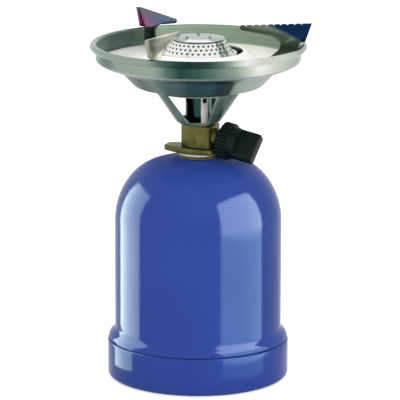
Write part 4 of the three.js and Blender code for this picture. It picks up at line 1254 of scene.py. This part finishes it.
class STOVE_OT_bracket(bpy.types.Operator):
    """Add the windowed sheet cone that carries the pan"""

    bl_idname = "stove.bracket"
    bl_label = "Bracket"

    def execute(self, context):
        low, top = bottom_of("burner_bracket"), top_of("burner_bracket") + PAN_LIFT
        path = rounded([
            (BRACKET_HOLE, low), (BRACKET_PLATE, low), (BRACKET_WAIST, low + BRACKET_WAIST_RISE),
            (BRACKET_TOP, top - BRACKET_DROP), (BRACKET_TOP - BRACKET_DROP, top),
            (BRACKET_TOP - BRACKET_FLANGE, top),
        ], BRACKET_BEND, 5)
        bracket = turned("bracket_sheet", sheet(path, BRACKET_WALL))
        cutter = prism(
            "bracket_window", window_outline(),
            low + BRACKET_WAIST_RISE + BRACKET_WALL, top - BRACKET_DROP - WINDOW_MARGIN,
        )
        bevelled(cutter, WINDOW_CORNER, 3, STEEP_ANGLE)
        round_axis(bracket, ring_cut_tree(), cutter, ARM_COUNT, FIRST_ARM, finish_of("bracket_steel"))
        bevelled(bracket, BRACKET_BEVEL, 2, WIDE_ANGLE)
        finished(shaded(bracket), "burner_unit", "bracket_steel", "dark_steel", "burner_bracket")
        return {"FINISHED"}


TUBE_RADIUS = 0.0075
TUBE_WALL = 0.0008
TUBE_EDGE = 0.0002
AIR_HOLE_RADIUS = 0.00165
AIR_HOLE_COUNT = 4
AIR_HOLE_LEVEL = 0.0134
AIR_HOLE_ANGLE = math.radians(-58.5)


class STOVE_OT_mixing_tube(bpy.types.Operator):
    """Add the mixing tube with its air holes"""

    bl_idname = "stove.mixing_tube"
    bl_label = "Mixing Tube"

    def execute(self, context):
        low, top = levels("mixing_tube")
        inner = TUBE_RADIUS - TUBE_WALL
        tube = pipe("mixing_pipe", inner, TUBE_RADIUS, low, top, TUBE_EDGE, 2, PIPE_SEGMENTS)
        drill = rod("air_drill", AIR_HOLE_RADIUS, TUBE_RADIUS / 2, TUBE_RADIUS + 2 * OVERRUN, DRILL_SEGMENTS)
        turn = Matrix.Rotation(math.pi / 2, 4, "Y")
        placed(drill, Matrix.Translation((0, 0, low + AIR_HOLE_LEVEL)) @ turn)
        round_axis(tube, ring_cut_tree(), drill, AIR_HOLE_COUNT, AIR_HOLE_ANGLE, finish_of("tube_steel"))
        finished(shaded(tube), "burner_unit", "tube_steel", "dark_steel", "mixing_tube")
        return {"FINISHED"}


RIVET_RADIUS = 0.0011
RIVET_HEAD = 0.0019
RIVET_HEAD_HEIGHT = 0.0009
CAP_RIVET_RADIUS = 0.001
CAP_RIVET_COUNT = 3
CAP_RIVET_ANGLE = math.pi / 2


def centre_distance(node):
    """Distance of a node's middle from the axis."""
    low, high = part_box(node)
    return ((low + high) / 2).xy.length


def ring_of_rivets(prefix, outline, count, first_angle, finish, slot):
    """Adds rivets of one outline round the axis, as far out as those of the frame."""
    nodes = [f"{prefix}_{i + 1}" for i in range(count)]
    rivet = turned("rivet_form", outline, RIVET_SEGMENTS)
    placed(rivet, Matrix.Translation((centre_distance(nodes[0]), 0, 0)))
    rivets = new_object(f"{prefix}s", bpy.data.meshes.new(prefix))
    round_axis(rivets, ring_copies_tree(), rivet, count, first_angle, finish_of(finish))
    finished(shaded(rivets), "burner_unit", finish, slot, *nodes)


class STOVE_OT_rivets(bpy.types.Operator):
    """Add the rivets of the pan and of the burner cap"""

    bl_idname = "stove.rivets"
    bl_label = "Rivets"

    def execute(self, context):
        low, top = (level + PAN_LIFT for level in levels("pan_rivet_1"))
        head = RIVET_HEAD_HEIGHT
        outline = [(0.0, low)] + arc((0.0, low + head), (RIVET_HEAD, head), -70, 0, 6)
        outline += [(RIVET_RADIUS, low + head), (RIVET_RADIUS, top - head)]
        outline += arc((0.0, top - head), (RIVET_HEAD, head), 0, 70, 6) + [(0.0, top)]
        ring_of_rivets("pan_rivet", outline, ARM_COUNT, FIRST_ARM, "zinc", "zinc_plate")

        low, top = levels("cap_rivet_1")
        outline = [(0.0, low), (CAP_RIVET_RADIUS, low)]
        outline += arc((0.0, low), (CAP_RIVET_RADIUS, top - low), 10, 80, 6) + [(0.0, top)]
        ring_of_rivets("cap_rivet", outline, CAP_RIVET_COUNT, CAP_RIVET_ANGLE, "dark_steel", "bright_steel")
        return {"FINISHED"}


# Pan, tray and burner

PAN_WALL = 0.0007
PAN_HOLE = 0.0088
TUBE_COLLAR = 0.0105
PAN_FLOOR_RADIUS = 0.026
PAN_CORNER_RADIUS = 0.0372
PAN_CORNER_HEIGHT = 0.0038
PAN_CONE_RADIUS = 0.0455
PAN_CONE_HEIGHT = 0.0125
PAN_SHELF_RADIUS = 0.0573
PAN_SHELF_HEIGHT = 0.0168
PAN_WALL_RISE = 0.0018
PAN_BEND = 0.0011
# Straight stretch left between the wall and the curl of the lip
LIP_GAP = 0.001
LIP_SWEEP = 250
# Half height of the painted highlight line between the wall and the underside
PAN_LINE = 0.0012
# The pan's inside is where a face looks in or up by more than this
INWARD_LIMIT = -0.1
UPWARD_LIMIT = 0.3


class STOVE_OT_pan(bpy.types.Operator):
    """Add the pan with its rolled lip"""

    bl_idname = "stove.pan"
    bl_label = "Pan"

    def execute(self, context):
        radius = sizes().pan_radius
        low = bottom_of("pan_bowl")
        curl = sizes().lip_radius - PAN_WALL
        centre = (radius + curl, top_of("pan_bowl") - sizes().lip_radius)
        shelf, floor = low + PAN_SHELF_HEIGHT, low + PAN_LIFT
        path = rounded([
            (PAN_HOLE, low), (TUBE_COLLAR, low), (TUBE_COLLAR + PAN_LIFT, floor), (PAN_FLOOR_RADIUS, floor),
            (PAN_CORNER_RADIUS, low + PAN_CORNER_HEIGHT),
            (PAN_CONE_RADIUS, low + PAN_CONE_HEIGHT), (PAN_SHELF_RADIUS, shelf),
            (radius, shelf + PAN_WALL_RISE), (radius, centre[1] - LIP_GAP),
        ], PAN_BEND, 6)
        path += arc(centre, (curl, curl), 180, 180 - LIP_SWEEP, 24)
        pan = turned("pan_pressing", sheet(path, PAN_WALL), PAN_SEGMENTS)
        finished(shaded(pan), "burner_unit", "pan_underside", "bright_steel", "pan_bowl")
        lip_low = centre[1] - sizes().lip_radius
        # The zones give the pan painted reflections round the axis, and a painted highlight along the crease
        # under its wall
        zoned(pan, [
            ("pan_line", lambda spot, normal: shelf - PAN_LINE < spot.z < shelf + PAN_LINE),
            (
                "pan_inside",
                lambda spot, normal: outward(spot, normal) < INWARD_LIMIT or normal.z > UPWARD_LIMIT,
            ),
            ("pan_wall", lambda spot, normal: spot.z > shelf + PAN_LINE and outward(spot, normal) > 0),
            ("pan_lip", lambda spot, normal: spot.z > lip_low and spot.xy.length > radius),
        ])
        return {"FINISHED"}


TRAY_WALL = 0.0007
TRAY_RADIUS = 0.0567
TRAY_FOOT = 0.034
TRAY_COLLAR = 0.0272
TRAY_COLLAR_RISE = 0.0052
TRAY_HOLE = 0.026
TRAY_CROWN = 0.0006
TRAY_BEND = 0.0035


class STOVE_OT_tray(bpy.types.Operator):
    """Add the drip tray with its raised collar"""

    bl_idname = "stove.tray"
    bl_label = "Drip Tray"

    def execute(self, context):
        low = bottom_of("drip_tray")
        path = rounded([
            (TRAY_HOLE, low + TRAY_COLLAR_RISE), (TRAY_COLLAR, low + TRAY_COLLAR_RISE),
            (TRAY_FOOT, low + TRAY_CROWN), (TRAY_RADIUS, low),
        ], TRAY_BEND, 8)
        tray = turned("tray_pressing", sheet(path, TRAY_WALL), PAN_SEGMENTS)
        finished(shaded(tray), "burner_unit", "tray_steel", "bright_steel", "drip_tray")
        return {"FINISHED"}


CUP_WALL = 0.0007
CUP_NECK = 0.0085
CUP_NECK_LENGTH = 0.007
CUP_RADIUS = 0.0223
CUP_RIM = 0.0016
CUP_BEND = 0.0015
DRUM_WALL = 0.0006
DRUM_RADIUS = 0.0208
DRUM_TOP = 0.0158
DRUM_FLANGE = 0.0016
DRUM_SHELF = 0.0034
DRUM_BEND = 0.0005
PORT_FIRST_LEVEL = 0.0026
PORT_PITCH = 0.0021
PORT_DEPTH = 0.003
CAP_RADIUS = 0.0153
CAP_FLAT = 0.010
CAP_RISE = 0.0006
CAP_WALL = 0.0005
CAP_BEND = 0.001


class STOVE_OT_burner(bpy.types.Operator):
    """Add the burner: cup, perforated drum and cap"""

    bl_idname = "stove.burner"
    bl_label = "Burner"

    def execute(self, context):
        low, top = levels("burner_cup")
        path = rounded([
            (CUP_NECK, low), (CUP_NECK, low + CUP_NECK_LENGTH),
            (CUP_RADIUS - CUP_RIM, top - CUP_WALL), (CUP_RADIUS, top - CUP_WALL),
        ], CUP_BEND, 6)
        cup = turned("burner_funnel", sheet(path, CUP_WALL))
        finished(shaded(cup), "burner_unit", "steel", "bright_steel", "burner_cup")

        low, top = levels("burner_drum")
        path = rounded([
            (DRUM_TOP - DRUM_SHELF, top - DRUM_WALL), (DRUM_TOP - DRUM_WALL, top - DRUM_WALL),
            (DRUM_RADIUS - DRUM_WALL, low), (DRUM_RADIUS + DRUM_FLANGE, low),
        ], DRUM_BEND, 4)
        drum = turned("burner_basket", sheet(path, DRUM_WALL), DRUM_SEGMENTS)
        patterned(drum, port_rows_tree(), {
            "Ports in a row": sizes().ports_in_row, "Rows": sizes().port_rows,
            "Port radius": sizes().port_radius, "First level": PORT_FIRST_LEVEL, "Pitch": PORT_PITCH,
            "Foot radius": DRUM_RADIUS - DRUM_WALL / 2, "Lean": math.atan2(DRUM_RADIUS - DRUM_TOP, top - low),
            "Depth": PORT_DEPTH, "Base height": low, "Material": finish_of("drum_steel"),
        })
        finished(shaded(drum), "burner_unit", "drum_steel", "bright_steel", "burner_drum")

        low = bottom_of("burner_cap")
        path = rounded([(0.0, low + CAP_RISE), (CAP_FLAT, low + CAP_RISE), (CAP_RADIUS, low)], CAP_BEND, 5)
        cap = turned("burner_lid", sheet(path, CAP_WALL), DRUM_SEGMENTS)
        finished(shaded(cap), "burner_unit", "cap_steel", "bright_steel", "burner_cap")
        # The front of the cap's outer slope takes a painted highlight
        zoned(cap, [("cap_slope", lambda spot, normal: spot.xy.length > CAP_FLAT and normal.z > 0)])
        return {"FINISHED"}


# Pot blades

BLADE_AZIMUTHS = (-2, 123, 243)
BLADE_INNER = 0.024
BLADE_OVERHANG = 0.0075
BLADE_LIP_STEP = 0.0036
BLADE_TOP_SLOPE = 0.0013
BLADE_REST_WIDTH = 0.0052
BLADE_FOOT = 0.0406
BLADE_HEEL = (0.0113, 0.0052)
BLADE_KNEE = (0.0104, 0.009)
BLADE_NECK = (0.0151, 0.013)
BLADE_TIP_DEPTH = 0.0026
BLADE_WALL_GAP = 0.0009
BLADE_LIP_GAP = 0.0005
BLADE_FLANGE = 0.0011
BLADE_CORNER = 0.0012
BLADE_FOLD_CORNER = 0.0003
BLADE_BEVEL = 0.00018
NOTCH_COUNT = 9
NOTCH_PITCH = 0.004
NOTCH_WIDTH = 0.0017
NOTCH_DEPTH = 0.0008
NOTCH_OVERRUN = 0.0002


class STOVE_OT_blades(bpy.types.Operator):
    """Add the three pot blades with their saw-cut tops"""

    bl_idname = "stove.blades"
    bl_label = "Pot Blades"

    def execute(self, context):
        low, top = levels("pot_blade_1")
        over_lip = top_of("pan_bowl") + BLADE_LIP_GAP
        wall = sizes().pan_radius - PAN_WALL - BLADE_WALL_GAP
        outer, lip = wall + BLADE_OVERHANG, wall + BLADE_LIP_STEP
        rest = outer - BLADE_REST_WIDTH
        slope = BLADE_TOP_SLOPE / (rest - BLADE_INNER)
        tip = top - BLADE_TOP_SLOPE
        outline = rounded([
            (BLADE_FOOT, low), (wall, low), (wall, over_lip), (lip, over_lip), (outer, top), (rest, top),
            (BLADE_INNER, tip), (BLADE_INNER, tip - BLADE_TIP_DEPTH),
            (wall - BLADE_NECK[0], low + BLADE_NECK[1]), (wall - BLADE_KNEE[0], low + BLADE_KNEE[1]),
            (wall - BLADE_HEEL[0], low + BLADE_HEEL[1]),
        ], BLADE_CORNER, 5, closed=True)
        half = sizes().blade_thickness / 2
        upright = Matrix.Rotation(math.pi / 2, 4, "X")
        first_notch = rest - NOTCH_WIDTH / 2 - NOTCH_PITCH * (NOTCH_COUNT - 1)
        notch_top = top - slope * (rest - first_notch)
        for i, (degrees, finish) in enumerate(zip(BLADE_AZIMUTHS, BLADE_LOOKS)):
            web = prism(f"blade_plate_{i + 1}", outline, -half, half)
            flange = prism(f"blade_fold_{i + 1}", rounded([
                (lip - half * 2, over_lip), (lip, over_lip), (outer, top), (outer - half * 2, top),
            ], BLADE_FOLD_CORNER, 2, closed=True), -half - BLADE_FLANGE, -half * 0.5)
            combined(web, flange, "UNION")
            notch = prism("blade_notch", [
                (-NOTCH_WIDTH / 2, NOTCH_OVERRUN), (0.0, -NOTCH_DEPTH), (NOTCH_WIDTH / 2, NOTCH_OVERRUN),
            ], -half * 2, half * 2)
            placed(notch, Matrix.Translation((first_notch, notch_top, 0)))
            patterned(web, row_cut_tree(), {
                "Part": notch, "Count": NOTCH_COUNT, "Pitch": NOTCH_PITCH, "Rise": slope * NOTCH_PITCH,
                "Material": finish_of(finish),
            })
            remove(notch)
            bevelled(web, BLADE_BEVEL, 2, CORNER_ANGLE)
            placed(web, Matrix.Rotation(math.radians(degrees), 4, "Z") @ upright)
            finished(shaded(web), "burner_unit", finish, "tempered_steel", f"pot_blade_{i + 1}")
        return {"FINISHED"}


# Pieces that keep the frame's own shape

KEPT_NODES = {
    "cartridge_collar": "zinc",
    "gas_cartridge": "lacquer",
    "bell_lug_1": "zinc",
    "bell_lug_2": "zinc",
    "bell_lug_3": "zinc",
    "bushing_nut": "zinc",
    "threaded_stem": "brass",
    "piercing_needle": "steel",
    "cartridge_seal": "rubber",
    "valve_spindle": "steel",
    "spindle_seal": "rubber",
    "gland_nut": "brass",
    "gas_jet": "brass",
}


class STOVE_OT_inner_pieces(bpy.types.Operator):
    """Give the inner pieces their finishes"""

    bl_idname = "stove.inner_pieces"
    bl_label = "Inner Pieces"

    def execute(self, context):
        for node, finish in KEPT_NODES.items():
            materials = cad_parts[node].data.materials
            materials.clear()
            materials.append(finish_of(finish))
        return {"FINISHED"}


class STOVE_PT_panel(bpy.types.Panel):
    """Settings and steps of the stove, in the sidebar"""

    bl_idname = "STOVE_PT_panel"
    bl_label = "Portable Gas Stove"
    bl_space_type = "VIEW_3D"
    bl_region_type = "UI"
    bl_category = "Stove"

    def draw(self, context):
        for settings in (context.scene.stove_sizes, context.scene.stove_colours):
            box = self.layout.box()
            for name in settings.bl_rna.properties.keys():
                if name not in {"rna_type", "name"}:
                    box.prop(settings, name)
        for operator in STEPS:
            self.layout.operator(operator.bl_idname)


STEPS = (
    STOVE_OT_stage,
    STOVE_OT_base,
    STOVE_OT_bell,
    STOVE_OT_neck,
    STOVE_OT_valve,
    STOVE_OT_knob,
    STOVE_OT_bracket,
    STOVE_OT_mixing_tube,
    STOVE_OT_rivets,
    STOVE_OT_pan,
    STOVE_OT_tray,
    STOVE_OT_burner,
    STOVE_OT_blades,
    STOVE_OT_inner_pieces,
)
CLASSES = (StoveSizes, StoveColours, *STEPS, STOVE_PT_panel)


def register():
    """Registers the settings, the steps and the panel."""
    for cls in CLASSES:
        bpy.utils.register_class(cls)
    bpy.types.Scene.stove_sizes = PointerProperty(type=StoveSizes)
    bpy.types.Scene.stove_colours = PointerProperty(type=StoveColours)


def unregister():
    """Removes what register added."""
    del bpy.types.Scene.stove_colours
    del bpy.types.Scene.stove_sizes
    for cls in reversed(CLASSES):
        bpy.utils.unregister_class(cls)


def main():
    """Builds the whole stove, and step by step."""
    register()
    for operator in STEPS:
        area, name = operator.bl_idname.split(".")
        getattr(getattr(bpy.ops, area), name)()


if __name__ == "__main__":
    main()
